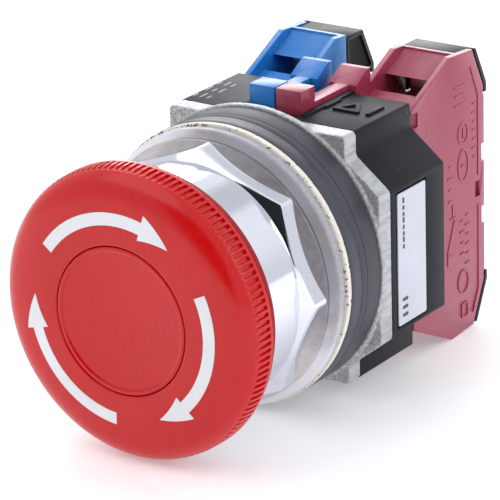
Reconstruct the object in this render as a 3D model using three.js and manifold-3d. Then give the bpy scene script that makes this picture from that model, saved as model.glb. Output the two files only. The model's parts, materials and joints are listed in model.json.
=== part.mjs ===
// Emergency stop operator: push to latch, turn to reset, with a normally open and a normally closed block.
// Millimetres. The operator axis is Y: the button faces -Y and the contact blocks are at +Y. Z is up.
// The origin is on the axis, in the plane where the panel is clamped: the washer and gasket are in front
// of it and the spacer rings behind.
import * as THREE from "three";
import { mergeVertices } from "three/addons/utils/BufferGeometryUtils.js";
import Module from "manifold-3d";

const wasm = await Module();
wasm.setup();

// ---- driving dimensions ----

const GAP = 0.3; // clearance kept between neighbouring pieces
const ROUND = 48; // sides of a large turned piece
const FINE = 20; // sides of a small turned piece
const WIRE_SIDES = 6; // sides of a spring's wire, an even number
const FREE_EDGE = 30; // a cutter runs this far past what it cuts

const HEAD = {
  frontY: -25.25,
  depth: 8.4,
  rimRadius: 20.7,
  faceRadius: 18.2,
  faceFall: 0.7, // how far the domed face falls back at its edge
  shoulder: [[19.3, 1.25], [20.1, 2.05], [20.55, 2.8]], // radius and depth of each point
  bandDepth: 3.5,
  landDepth: 6.2,
  landStep: 0.35,
  rearStep: 1.6,
  edge: 0.3,
  capRadius: 10.6,
  capRecess: 1.5,
  skirtInnerRadius: 18,
  wall: 2.8,
  bossRadius: 9,
  bossLength: 15.8,
  socketRadius: 4.8,
  socketDepth: 6.2,
  screwHeadRadius: 3.5,
  screwHeadDepth: 4.4,
  screwRadius: 1.9,
  driveHalf: 2.2, // half length of each arm of the cross in the screw's head
  driveDepth: 1.1,
};

const SPINDLE = { radius: 4.5, rearY: 10.75, tapDepth: 6 };

const BEZEL = {
  frontY: -17.9,
  shoulderY: -7.9,
  shoulderFall: 0.62, // how far the sloping shoulder falls back for each millimetre outward
  rearY: -3.75,
  flangeEdge: 0.35,
  collarRadius: 17.1,
  cornerRadius: 19,
  turn: -1.5, // degrees that the screwed ring's corners stand off the level, anticlockwise from the front
  lipRadius: 13.2,
  lipDepth: 5.35,
  boreRadius: 15.3,
  edge: 0.6,
};

const STACK_BORE = 15.4; // bore of every ring threaded over the barrel
const GASKET = { frontY: -3.45, rearY: -1.15, faceRadius: 19, edgeRadius: 20, edgeWidth: 1.1 };
const WASHER = { frontY: -0.85, rearY: -0.15, radius: 20.4 };
const SPACERS = [
  { name: "spacer_ring_front", frontY: 0.15, rearY: 3.75 },
  { name: "spacer_ring_rear", frontY: 4.05, rearY: 7.1 },
];
const SPACER = { radius: 20.4, edge: 0.35 };

const BODY = {
  barrelFrontY: -12.25,
  seatY: 7.4,
  earY: 7.75,
  rearY: 10.65,
  barrelRadius: 15,
  seatRadius: 20.75,
  springBore: 12,
  sealBore: 12.7,
  sealDepth: 2.2,
  webFrontY: 1.75,
  webRearY: 3.35,
  webBore: 6.2,
  hubBore: 8.2,
  screwHoleRadius: 1.65,
  screwHoleDepth: 2,
};

const SEAL = { innerRadius: 9.3, outerRadius: 12.4, thickness: 1.6, lip: 0.5 };
const RETURN_SPRING = { radius: 8, wire: 0.55, turns: 5 };

const PUSHER = {
  frontY: 1.15,
  coneFrontY: 4.25,
  coneRearY: 8.25,
  neckRadius: 5.9,
  stemRadius: 6.9,
  barFrontY: 13.25,
  stemRearY: 17.5,
  rearY: 19.05,
  barHalfWidth: 13,
  barHalfHeight: 4,
  barSkin: 1.5, // the bar's arms are relieved between two skins this thick
  boreEndY: 11.15,
};

const LATCH = {
  y: 6.75,
  half: 1.5,
  tipRadius: 7.2,
  length: 3.4,
  tipBevel: 0.9,
  endRadius: 14.2,
  slotHalf: 1.8,
};
const LATCH_SPRING = { radius: 1, wire: 0.22, turns: 4 };

// Half outline of the flange and housing, seen from the front: a wide middle with a narrower head and foot.
const OUTLINE = {
  narrowHalf: 14.6,
  wideHalf: 20,
  topZ: 18.5,
  upperStepZ: 15.1,
  wideTopZ: 10.75,
  wideBottomZ: -10.85,
  lowerStepZ: -15.1,
  bottomZ: -17.95,
};

const HOUSING = {
  frontY: 10.95,
  rearY: 24.65,
  wall: 1.6,
  ceilingZ: 15.4,
  channelHalf: 4.6,
  channelFrontY: 12.25,
  channelFloorZ: 17,
  railWidth: 0.8,
  railHeight: 0.35,
  windowHalf: 13.4,
  windowHalfHeight: 5.2,
  hookHalf: 2.5,
  hookZ: [-15.9, -13.6], // slot that a contact block hooks into
};
const HOUSING_SCREW = {
  x: 17.3,
  headRadius: 1.9,
  headHeight: 1.4,
  boreRadius: 2.2, // counterbore that sinks the head below the housing's rear face
  boreDepth: 2,
  radius: 1.35,
  holeRadius: 1.65,
  bossRadius: 2.65,
  driveHalf: 1.3,
  driveDepth: 0.7,
};
const LABEL = { frontY: 12.3, rearY: 19.55, halfHeight: 9.7, thickness: 0.15, recess: 0.35 };

// Contact blocks. Heights are measured from the block's middle, at z = BLOCK.z; both halves are alike.
const BLOCK = {
  x: 9.575,
  z: 0.6,
  halfWidth: 4.975,
  frontY: 25.05,
  rearY: 44.95,
  cheek: 0.9,
  frontWall: 1.5,
  chamberRearY: 43.75,
  chamberHalfWidth: 3.9,
  chamberHalfHeight: 8,
};
const PLUNGER = {
  frontY: 19.35,
  stemEndY: 29.75,
  rearY: 35.75,
  stemHalf: [2.2, 3.1], // half width and half height
  frameHalf: [3.2, 4.5],
  windowY: [30.75, 34.95],
};
const BRIDGE = { halfWidth: 1.5, halfLength: 7.2, thickness: 0.7, tip: 0.4, tipLength: 1.7, tipInset: 0.1 };
const CONTACT_SPRING = { radius: 0.95, wire: 0.2, turns: 3 };
const BLOCK_SPRING = { radius: 2.4, wire: 0.3, turns: 5 };
const CONTACT = {
  no: { bridgeY: 31.15, springFrontY: 32.15 },
  nc: { bridgeY: 31.85, springFrontY: 32.85 },
  springRearY: 34.65,
};
const TERMINAL = {
  halfWidth: 2.7,
  plateY: 37.25,
  thickness: 0.9,
  innerEnd: 5.3,
  outerEnd: 19.4,
  screwZ: 17,
  stepY: [30.05, 30.75], // where the normally closed strip's inner end stands, ahead of the bridge
  stepZ: [10, 10.9],
  tipHeight: 0.7,
};
const TERMINAL_SCREW = { headRadius: 2.9, headHeight: 2, radius: 1.6, length: 4, edge: 0.4, driveDepth: 0.9 };
const CLAMP = { halfWidth: 3.4, halfHeight: 2.7, thickness: 0.7, holeRadius: 1.95 };
const COVER_WINDOW = { halfWidth: 2.6, bottom: 14.7, top: 19.3 };
const HOOK = { halfWidth: 2.1, reach: 2.6, tip: 0.4, z: [-15.5, -14.1], tipZ: [-15.6, -13.9] };
const ARM = {
  topZ: 19.5,
  bottomZ: 18,
  innerX: 2.2,
  outerX: 4.3,
  tabFrontY: 12.75,
  tabRearY: 16.25,
  tabTopZ: 21.8,
  tabBottomZ: 17.4,
  rampFrontY: 24.95,
  rampTopY: 28,
  rampTopZ: 21.2,
  rampBottomZ: 16.4,
  rearY: 28.8,
};

// Outlines of the upper half of a contact block, as [y, height above the block's middle].
const CASE_OUTLINE = [
  [BLOCK.frontY, 16.5],
  [35.55, 21.5],
  [41.75, 21.1],
  [42.05, 20.3],
  [44.7, 14.95],
  [44.7, 13.5],
  [BLOCK.rearY, 13.5],
  [BLOCK.rearY, 6.1],
  [BLOCK.rearY - 0.7, 6.1],
  [BLOCK.rearY - 0.7, 3.5],
  [BLOCK.rearY, 3.5],
];
const RECESS_OUTLINE = [
  [24, 15.9],
  [28.55, 16.4],
  [30.25, 16.9],
  [32.75, 18.6],
  [37.65, 21],
  [37.65, 23],
  [24, 23],
];
const WIRE_WAY_OUTLINE = [
  [30.25, 16.9],
  [32.75, 18.6],
  [34.25, 18.3],
  [34.25, 14.5],
  [32.4, 14.5],
];
const BAY_OUTLINE = [
  [32.35, 12.4],
  [43.75, 12.4],
  [43.75, 13.5],
  [47, 13.5],
  [47, 23],
  [38.35, 23],
  [38.35, 20.3],
  [34, 18.2],
  [32.35, 15],
];
const OPEN_SIDE_OUTLINE = [
  [38.25, 14.2],
  [47, 14.2],
  [47, 23],
  [38.25, 23],
];
const COVER_OUTLINE = [
  [38.55, 21],
  [42.75, 21],
  [45.7, 15.2],
  [45.7, 13.8],
  [45.05, 13.8],
  [45.05, 15],
  [42.35, 20.3],
  [38.55, 20.3],
];
const COVER_SIDE_OUTLINE = [
  [38.55, 20.6],
  [42.5, 20.6],
  [45.3, 15.1],
  [45.3, 14.5],
  [38.55, 14.5],
];
const COVER_SUNK_OUTLINE = [
  [39.05, 20.3],
  [42.35, 20.3],
  [45.05, 15],
  [39.05, 15],
];
const COVER_SIDE = { thickness: 1, recess: 0.4 };

// ---- finishes ----

const finish = (color, roughness, metalness = 0, extra = {}) =>
  new THREE.MeshStandardMaterial({ color, roughness, metalness, ...extra });

const RED = () => finish(0xc8242a, 0.35);
const CHROME = () => finish(0xdfe4ec, 0.08, 1);
const ZINC = () => finish(0xbfc4c4, 0.6, 0.9);
const STEEL = () => finish(0xb4b6ba, 0.35, 1);
const BRASS = () => finish(0xc9a24a, 0.35, 1);
const BLACK = () => finish(0x3a3a3f, 0.6);
const RUBBER = () => finish(0x55535f, 0.7);
const SILICONE = () => finish(0xc8c2c6, 0.45, 0, { transparent: true, opacity: 0.7 });
const CREAM = () => finish(0xe8e0d2, 0.6);
const PAPER = () => finish(0xdce0ea, 0.5);
const BLUE = () => finish(0x3f80d4, 0.45);
const BURGUNDY = () => finish(0xb0586c, 0.45);

// ---- solids ----

// A closed three.js geometry as a manifold-3d solid.
function solid(geometry) {
  const bare = geometry.clone();
  bare.deleteAttribute("normal");
  bare.deleteAttribute("uv");
  const merged = mergeVertices(bare, 1e-4);
  return new wasm.Manifold(
    new wasm.Mesh({
      numProp: 3,
      vertProperties: merged.attributes.position.array,
      triVerts: new Uint32Array(merged.index.array),
    }),
  );
}

// A manifold-3d solid as a three.js geometry.
function geometryOf(shape) {
  const mesh = shape.getMesh();
  const geometry = new THREE.BufferGeometry();
  geometry.setAttribute("position", new THREE.BufferAttribute(mesh.vertProperties, 3));
  geometry.setIndex(new THREE.BufferAttribute(mesh.triVerts, 1));
  geometry.computeVertexNormals();
  return geometry;
}

const cut = (shape, ...tools) => tools.reduce((result, tool) => result.subtract(tool), shape);
const join = (shape, ...others) => others.reduce((result, other) => result.add(other), shape);

function box([x0, x1], [y0, y1], [z0, z1]) {
  const geometry = new THREE.BoxGeometry(x1 - x0, y1 - y0, z1 - z0);
  geometry.translate((x0 + x1) / 2, (y0 + y1) / 2, (z0 + z1) / 2);
  return solid(geometry);
}

const around = (middle, half) => [middle - half, middle + half];

// Twice the signed area of a closed outline, positive when it runs anticlockwise.
const turning = (points) =>
  points.reduce((sum, [a, b], i) => {
    const [c, d] = points[(i + 1) % points.length];
    return sum + a * d - c * b;
  }, 0);

// A closed outline of [radius, y] points turned about the Y axis.
function turned(points, sides = ROUND) {
  const ring = turning(points) > 0 ? points : [...points].reverse();
  const start = Math.max(0, ring.findIndex(([r], i) => r === 0 && ring[(i + 1) % ring.length][0] > 0));
  const order = ring.map((_, i) => ring[(start + i) % ring.length]);
  if (order[0][0] > 0) order.push(order[0]);
  const profile = order.map(([r, y]) => new THREE.Vector2(r, y));
  return solid(new THREE.LatheGeometry(profile, sides));
}

const disc = (radius, [y0, y1], sides = FINE) =>
  turned([[0, y0], [radius, y0], [radius, y1], [0, y1]], sides);

const tube = (inner, outer, [y0, y1], sides = ROUND) =>
  turned([[inner, y0], [outer, y0], [outer, y1], [inner, y1]], sides);

const moved = (shape, x, y, z) => shape.translate([x, y, z]);

// Cutters of a cross drive on the Y axis, with arms of the given half length.
function cross(half, depth, width = 1) {
  const across = around(0, width / 2);
  const along = around(0, half);
  return [box(across, depth, along), box(along, depth, across)];
}

// An outline of [y, z] points carried from x0 to x1.
function slabX(points, [x0, x1]) {
  const shape = new THREE.Shape(points.map(([y, z]) => new THREE.Vector2(y, z)));
  const geometry = new THREE.ExtrudeGeometry(shape, { depth: x1 - x0, bevelEnabled: false });
  const toYZ = new THREE.Matrix4().set(0, 0, 1, x0, 1, 0, 0, 0, 0, 1, 0, 0, 0, 0, 0, 1);
  return solid(geometry.applyMatrix4(toYZ));
}

// An outline of [x, z] points carried from y0 to y1.
function slabY(points, [y0, y1]) {
  const shape = new THREE.Shape(points.map(([x, z]) => new THREE.Vector2(x, z)));
  const geometry = new THREE.ExtrudeGeometry(shape, { depth: y1 - y0, bevelEnabled: false });
  return solid(geometry.rotateX(Math.PI / 2).translate(0, y1, 0));
}

// Centre line of a spring's wire, climbing along Y.
class Helix extends THREE.Curve {
  constructor(radius, y0, y1, turns) {
    super();
    Object.assign(this, { radius, y0, y1, turns });
  }
  getPoint(t, target = new THREE.Vector3()) {
    const angle = 2 * Math.PI * this.turns * t;
    const y = this.y0 + (this.y1 - this.y0) * t;
    return target.set(this.radius * Math.cos(angle), y, this.radius * Math.sin(angle));
  }
}

// A coil spring on the Y axis whose wire stays between y0 and y1.
function coil({ radius, wire, turns }, [y0, y1], stepsPerTurn = 12) {
  const section = new THREE.Shape();
  section.absarc(0, 0, wire, 0, 2 * Math.PI, false);
  const path = new Helix(radius, y0 + wire, y1 - wire, turns);
  const geometry = new THREE.ExtrudeGeometry(section, {
    steps: Math.round(turns * stepsPerTurn),
    curveSegments: WIRE_SIDES / 2,
    bevelEnabled: false,
    extrudePath: path,
  });
  return solid(geometry);
}

// ---- button ----

const headY = (depth) => HEAD.frontY + depth;

function buttonHead() {
  const { rimRadius, faceRadius, capRadius, skirtInnerRadius, bossRadius, socketRadius } = HEAD;
  const shoulder = HEAD.shoulder.map(([r, depth]) => [r, headY(depth)]);
  return turned([
    [HEAD.screwRadius + GAP, headY(HEAD.screwHeadDepth)],
    [HEAD.screwHeadRadius + GAP, headY(HEAD.screwHeadDepth)],
    [HEAD.screwHeadRadius + GAP, headY(HEAD.capRecess)],
    [capRadius, headY(HEAD.capRecess)],
    [capRadius, headY(0)],
    [faceRadius, headY(HEAD.faceFall)],
    ...shoulder,
    [rimRadius, headY(HEAD.bandDepth)],
    [rimRadius - HEAD.landStep, headY(HEAD.landDepth)],
    [rimRadius - HEAD.rearStep, headY(HEAD.depth)],
    [skirtInnerRadius + HEAD.edge, headY(HEAD.depth)],
    [skirtInnerRadius, headY(HEAD.depth - 2 * HEAD.edge)],
    [skirtInnerRadius, headY(HEAD.wall)],
    [bossRadius, headY(HEAD.wall)],
    [bossRadius, headY(HEAD.bossLength)],
    [socketRadius, headY(HEAD.bossLength)],
    [socketRadius, headY(HEAD.socketDepth)],
    [HEAD.screwRadius + GAP, headY(HEAD.socketDepth)],
  ]);
}

function headCap() {
  const radius = HEAD.capRadius - GAP;
  return turned([
    [0, headY(0)],
    [radius - HEAD.edge, headY(0)],
    [radius, headY(HEAD.edge)],
    [radius, headY(HEAD.capRecess - GAP)],
    [0, headY(HEAD.capRecess - GAP)],
  ]);
}

function headScrew() {
  const top = headY(HEAD.capRecess + GAP);
  const seat = headY(HEAD.screwHeadDepth - GAP);
  const end = headY(HEAD.socketDepth + SPINDLE.tapDepth - GAP);
  const shape = turned(
    [
      [0, top],
      [HEAD.screwHeadRadius, top],
      [HEAD.screwHeadRadius, seat],
      [HEAD.screwRadius, seat],
      [HEAD.screwRadius, end],
      [0, end],
    ],
    FINE,
  );
  return cut(shape, ...cross(HEAD.driveHalf, [top - 1, top + HEAD.driveDepth]));
}

function spindle() {
  const front = headY(HEAD.socketDepth + GAP);
  const tap = HEAD.screwRadius + GAP;
  return turned(
    [
      [tap, front],
      [SPINDLE.radius, front],
      [SPINDLE.radius, SPINDLE.rearY],
      [0, SPINDLE.rearY],
      [0, front + SPINDLE.tapDepth],
      [tap, front + SPINDLE.tapDepth],
    ],
    FINE,
  );
}

// ---- front stack ----

// Round collar that steps out to an octagonal grip; the flats run out on a cone to the round rear edge.
function bezelRing() {
  const { frontY, shoulderY, shoulderFall, rearY, collarRadius, cornerRadius, edge } = BEZEL;
  const collar = turned([
    [0, frontY],
    [collarRadius - edge, frontY],
    [collarRadius, frontY + edge],
    [collarRadius, rearY],
    [0, rearY],
  ]);
  const octagon = new THREE.CylinderGeometry(cornerRadius, cornerRadius, rearY - shoulderY, 8);
  octagon.rotateY(THREE.MathUtils.degToRad(90 - BEZEL.turn)).translate(0, (shoulderY + rearY) / 2, 0);
  const envelope = turned([
    [0, shoulderY],
    [collarRadius, shoulderY],
    [cornerRadius + GAP, shoulderY + shoulderFall * (cornerRadius + GAP - collarRadius)],
    [cornerRadius + GAP, rearY],
    [0, rearY],
  ]);
  const grip = solid(octagon).intersect(envelope);
  const flangeY = rearY - BEZEL.flangeEdge;
  const runOut = turned([
    [0, shoulderY],
    [cornerRadius - (flangeY - shoulderY), shoulderY],
    [cornerRadius, flangeY],
    [cornerRadius, rearY],
    [0, rearY],
  ]);
  const lipEnd = frontY + BEZEL.lipDepth;
  const bore = disc(BEZEL.boreRadius, [lipEnd, rearY + 1], ROUND);
  const mouth = disc(BEZEL.lipRadius, [frontY - FREE_EDGE, lipEnd + 1], ROUND);
  return cut(join(collar, grip, runOut), bore, mouth);
}

function panelGasket() {
  const { frontY, rearY, faceRadius, edgeRadius, edgeWidth } = GASKET;
  return turned([
    [STACK_BORE, frontY],
    [faceRadius, frontY],
    [edgeRadius, rearY - edgeWidth],
    [edgeRadius, rearY],
    [STACK_BORE, rearY],
  ]);
}

const thrustWasher = () => tube(STACK_BORE, WASHER.radius, [WASHER.frontY, WASHER.rearY]);

function spacerRing({ frontY, rearY }) {
  const { radius, edge } = SPACER;
  return turned([
    [STACK_BORE, frontY],
    [radius - edge, frontY],
    [radius, frontY + edge],
    [radius, rearY - edge],
    [radius - edge, rearY],
    [STACK_BORE, rearY],
  ]);
}

// ---- operator body and mechanism ----

const mirrored = (half) => [...half, ...[...half].reverse().map(([x, z]) => [-x, z])];

function flangeOutline() {
  const o = OUTLINE;
  return mirrored([
    [o.narrowHalf, o.topZ],
    [o.narrowHalf, o.upperStepZ],
    [o.wideHalf, o.wideTopZ],
    [o.wideHalf, o.wideBottomZ],
    [o.narrowHalf, o.lowerStepZ],
    [o.narrowHalf, o.bottomZ],
  ]);
}

// Die-cast flange with the threaded barrel in front; the hub behind the web holds the two latch pins.
function operatorBody() {
  const b = BODY;
  const seat = disc(b.seatRadius, [b.seatY, b.rearY], ROUND);
  const ears = slabY(flangeOutline(), [b.earY, b.rearY]);
  const barrel = disc(b.barrelRadius, [b.barrelFrontY, b.rearY], ROUND);
  const bore = turned([
    [0, b.barrelFrontY - 1],
    [b.sealBore, b.barrelFrontY - 1],
    [b.sealBore, b.barrelFrontY + b.sealDepth],
    [b.springBore, b.barrelFrontY + b.sealDepth],
    [b.springBore, b.webFrontY],
    [b.webBore, b.webFrontY],
    [b.webBore, b.webRearY],
    [b.hubBore, b.webRearY],
    [b.hubBore, b.rearY + 1],
    [0, b.rearY + 1],
  ]);
  const pinSlot = box(
    around(0, LATCH.endRadius),
    around(LATCH.y, LATCH.slotHalf),
    around(0, LATCH.slotHalf),
  );
  const holes = [-1, 1].map((side) =>
    moved(
      disc(b.screwHoleRadius, [b.rearY - b.screwHoleDepth, b.rearY + 1]),
      side * HOUSING_SCREW.x,
      0,
      BLOCK.z,
    ),
  );
  return cut(join(barrel, seat, ears), bore, pinSlot, ...holes);
}

function wiperSeal() {
  const front = BODY.barrelFrontY + GAP;
  const { innerRadius, outerRadius, thickness, lip } = SEAL;
  return turned([
    [innerRadius, front],
    [innerRadius + lip, front],
    [innerRadius + 2 * lip, front + lip],
    [outerRadius, front + lip],
    [outerRadius, front + thickness],
    [innerRadius + 2 * lip, front + thickness],
    [innerRadius, front + 1.2 * lip],
  ]);
}

const returnSpring = () => coil(RETURN_SPRING, [headY(HEAD.bossLength) + GAP, BODY.webFrontY - GAP]);

// Sleeve that slides in the hub without turning. Its cone lets the latch pins close in as it goes back,
// and its cross bar presses both contact plungers.
function pusher() {
  const p = PUSHER;
  const stem = turned(
    [
      [0, p.frontY],
      [p.neckRadius, p.frontY],
      [p.neckRadius, p.coneFrontY],
      [p.stemRadius, p.coneRearY],
      [p.stemRadius, p.stemRearY],
      [0, p.stemRearY],
    ],
    FINE * 2,
  );
  const bar = box(around(0, p.barHalfWidth), [p.barFrontY, p.rearY], around(BLOCK.z, p.barHalfHeight));
  const bore = disc(SPINDLE.radius + GAP, [p.frontY - 1, p.boreEndY]);
  const armX = (p.barHalfWidth + p.stemRadius + 1) / 2;
  const relief = (side) =>
    box(around(side * armX, 2), [p.barFrontY + p.barSkin, p.rearY - p.barSkin], around(BLOCK.z, FREE_EDGE));
  return cut(join(stem, bar), bore, relief(-1), relief(1));
}

function latchPin(side) {
  const { y, half, tipRadius, length, tipBevel } = LATCH;
  const tip = [
    [tipRadius + tipBevel, y - half],
    [tipRadius + length, y - half],
    [tipRadius + length, y + half],
    [tipRadius + tipBevel, y + half],
    [tipRadius, y + half - tipBevel],
    [tipRadius, y - half + tipBevel],
  ];
  const shape = new THREE.Shape(tip.map(([x, py]) => new THREE.Vector2(x, py)));
  const geometry = new THREE.ExtrudeGeometry(shape, { depth: 2 * half, bevelEnabled: false });
  geometry.translate(0, 0, -half);
  const pin = solid(geometry);
  return side > 0 ? pin : pin.rotate([0, 180, 0]);
}

function latchSpring(side) {
  const from = LATCH.tipRadius + LATCH.length + GAP;
  const spring = coil(LATCH_SPRING, [from, LATCH.endRadius - GAP], 8);
  return moved(spring.rotate([0, 0, -90 * side]), 0, LATCH.y, 0);
}

// ---- housing ----

function housingShell() {
  const { frontY, rearY, wall } = HOUSING;
  const o = OUTLINE;
  const outer = mirrored([
    [o.narrowHalf, o.topZ],
    [o.narrowHalf, o.upperStepZ],
    [o.wideHalf, o.wideTopZ],
    [o.wideHalf, o.wideBottomZ],
    [o.narrowHalf, o.wideBottomZ],
    [o.narrowHalf, o.bottomZ],
  ]);
  const inner = mirrored([
    [o.narrowHalf - wall, HOUSING.ceilingZ],
    [o.narrowHalf - wall, o.upperStepZ - 0.7],
    [o.wideHalf - wall, o.wideTopZ - 0.7],
    [o.wideHalf - wall, o.wideBottomZ + wall],
    [o.narrowHalf - wall, o.wideBottomZ + wall],
    [o.narrowHalf - wall, o.bottomZ + wall],
  ]);
  return cut(slabY(outer, [frontY, rearY]), slabY(inner, [frontY - 1, rearY - wall]));
}

function mechanismHousing() {
  const h = HOUSING;
  const s = HOUSING_SCREW;
  const sides = [-1, 1];
  const rail = (side) =>
    box(
      around(side * (h.channelHalf + h.railWidth / 2), h.railWidth / 2),
      [h.channelFrontY, h.rearY],
      [OUTLINE.topZ - 1, OUTLINE.topZ + h.railHeight],
    );
  const boss = (side) => moved(disc(s.bossRadius, [h.frontY, h.rearY]), side * s.x, 0, BLOCK.z);
  const hole = (side) => moved(disc(s.holeRadius, [h.frontY - 1, h.rearY + 1]), side * s.x, 0, BLOCK.z);
  const boreY = [h.rearY - s.boreDepth, h.rearY + 1];
  const headBore = (side) => moved(disc(s.boreRadius, boreY), side * s.x, 0, BLOCK.z);
  const hookSlot = (side) =>
    box(around(side * BLOCK.x, h.hookHalf), [h.rearY - h.wall - 1, h.rearY + 1], h.hookZ);
  const channel = box(
    around(0, h.channelHalf),
    [h.channelFrontY, h.rearY + 1],
    [h.channelFloorZ, OUTLINE.topZ + 1],
  );
  const window = box(
    around(0, h.windowHalf),
    [h.rearY - h.wall - 1, h.rearY + 1],
    around(BLOCK.z, h.windowHalfHeight),
  );
  const labelRecess = box(
    [OUTLINE.wideHalf - LABEL.recess, OUTLINE.wideHalf + 1],
    [LABEL.frontY - GAP, LABEL.rearY + GAP],
    around(0, LABEL.halfHeight + GAP),
  );
  const shell = join(housingShell(), ...sides.map(rail), ...sides.map(boss));
  const drilled = [...sides.map(hole), ...sides.map(headBore), ...sides.map(hookSlot)];
  return cut(shell, channel, window, labelRecess, ...drilled);
}

function ratingLabel() {
  const back = OUTLINE.wideHalf - LABEL.recess + GAP;
  return box([back, back + LABEL.thickness], [LABEL.frontY, LABEL.rearY], around(0, LABEL.halfHeight));
}

function housingScrew(side) {
  const s = HOUSING_SCREW;
  const seat = HOUSING.rearY - s.boreDepth + GAP;
  const end = BODY.rearY - BODY.screwHoleDepth + GAP;
  const shape = turned(
    [
      [0, end],
      [s.radius, end],
      [s.radius, seat],
      [s.headRadius, seat],
      [s.headRadius, seat + s.headHeight],
      [0, seat + s.headHeight],
    ],
    FINE,
  );
  const top = seat + s.headHeight;
  const crossed = cut(shape, ...cross(s.driveHalf, [top - s.driveDepth, top + 1], 0.8));
  return moved(crossed, side * s.x, 0, BLOCK.z);
}

// ---- contact blocks ----
// Each block is drawn for the right-hand side, upper half first; the lower half is its mirror image.

const flip = (points, up) => points.map(([y, z]) => [y, BLOCK.z + up * z]);
const inner = BLOCK.x - BLOCK.halfWidth;
const outer = BLOCK.x + BLOCK.halfWidth;
const betweenCheeks = [inner + BLOCK.cheek, outer - BLOCK.cheek];

const caseBlank = () => {
  const lower = [...CASE_OUTLINE].reverse();
  return slabX([...flip(CASE_OUTLINE, 1), ...flip(lower, -1)], [inner, outer]);
};

// Recess between the cheeks, wire opening under the sloped lip, terminal bay, and the open rear corner.
const terminalBay = (up) => [
  slabX(flip(RECESS_OUTLINE, up), betweenCheeks),
  slabX(flip(WIRE_WAY_OUTLINE, up), betweenCheeks),
  slabX(flip(BAY_OUTLINE, up), betweenCheeks),
  slabX(flip(OPEN_SIDE_OUTLINE, up), [inner - 1, inner + BLOCK.cheek + 0.01]),
];

// A span of heights above the block's middle, in the upper or the lower half.
const heights = ([low, high], up) => [BLOCK.z + up * low, BLOCK.z + up * high].sort((a, b) => a - b);

// Way for the fixed contact strip from the switching chamber up into the terminal bay.
function stripWay(kind, up) {
  const wide = around(BLOCK.x, TERMINAL.halfWidth + GAP);
  const plate = [TERMINAL.plateY - GAP, TERMINAL.plateY + TERMINAL.thickness + GAP];
  const chamber = BLOCK.chamberHalfHeight - 0.1;
  const bay = BAY_OUTLINE[0][1] + 0.1;
  if (kind === "no") return [box(wide, plate, heights([chamber, bay], up))];
  const [stepFront, stepRear] = TERMINAL.stepY;
  const [low, high] = [TERMINAL.stepZ[0] - GAP, TERMINAL.stepZ[1] + GAP];
  return [
    box(wide, [stepFront - GAP, stepRear + 0.5], heights([chamber, high], up)),
    box(wide, [stepFront - GAP, plate[1]], heights([low, high], up)),
    box(wide, plate, heights([low, bay], up)),
  ];
}

// Snap arm that reaches forward in the housing's top channel and ends in a raised finger tab.
function snapArm() {
  const a = ARM;
  const strip = box([a.innerX, a.outerX], [a.tabRearY - 0.5, a.rearY], [a.bottomZ, a.topZ]);
  const tab = box([GAP / 2, a.outerX], [a.tabFrontY, a.tabRearY], [a.tabBottomZ, a.tabTopZ]);
  const ramp = slabX(
    [
      [a.rampFrontY, a.rampBottomZ],
      [a.rampFrontY, a.topZ],
      [a.rampTopY, a.rampTopZ],
      [a.rearY, a.rampTopZ],
      [a.rearY, a.rampBottomZ],
    ],
    [1, inner + BLOCK.cheek],
  );
  return join(tab, strip, ramp);
}

function contactCase(kind) {
  const c = BLOCK;
  const chamber = box(
    around(c.x, c.chamberHalfWidth),
    [c.frontY + c.frontWall, c.chamberRearY],
    around(c.z, c.chamberHalfHeight),
  );
  const [stemX, stemZ] = PLUNGER.stemHalf;
  const mouth = box(
    around(c.x, stemX + GAP),
    [c.frontY - 1, c.frontY + c.frontWall + 1],
    around(c.z, stemZ + GAP),
  );
  const bays = [1, -1].flatMap((up) => [...terminalBay(up), ...stripWay(kind, up)]);
  const hook = box(around(c.x, HOOK.halfWidth), [c.frontY - HOOK.reach, c.frontY + 1], HOOK.z);
  const tipY = [c.frontY - HOOK.reach, c.frontY - HOOK.reach + HOOK.tip];
  const tip = box(around(c.x, HOOK.halfWidth), tipY, HOOK.tipZ);
  return join(cut(caseBlank(), chamber, mouth, ...bays), snapArm(), hook, tip);
}

// Side wall of the cover over the bay's open side, sunk a little inside its rim.
function coverSide(up) {
  const wall = slabX(flip(COVER_SIDE_OUTLINE, up), [inner, inner + COVER_SIDE.thickness]);
  const sunk = slabX(flip(COVER_SUNK_OUTLINE, up), [inner - 1, inner + COVER_SIDE.recess]);
  return cut(wall, sunk);
}

// Black cover clipped over the rear corner of the block, with a window for the screwdriver.
function terminalCover(up) {
  const body = slabX(flip(COVER_OUTLINE, up), [inner, outer]);
  const cheekOutline = [[38, 20.1], [38, 23], [42.4, 23], [42.4, 20.1]];
  const cheekWay = slabX(flip(cheekOutline, up), [outer - BLOCK.cheek - GAP, outer + 1]);
  const windowZ = heights([COVER_WINDOW.bottom, COVER_WINDOW.top], up);
  const window = box(around(BLOCK.x, COVER_WINDOW.halfWidth), [41, 47], windowZ);
  return cut(join(body, coverSide(up)), cheekWay, window);
}

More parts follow.
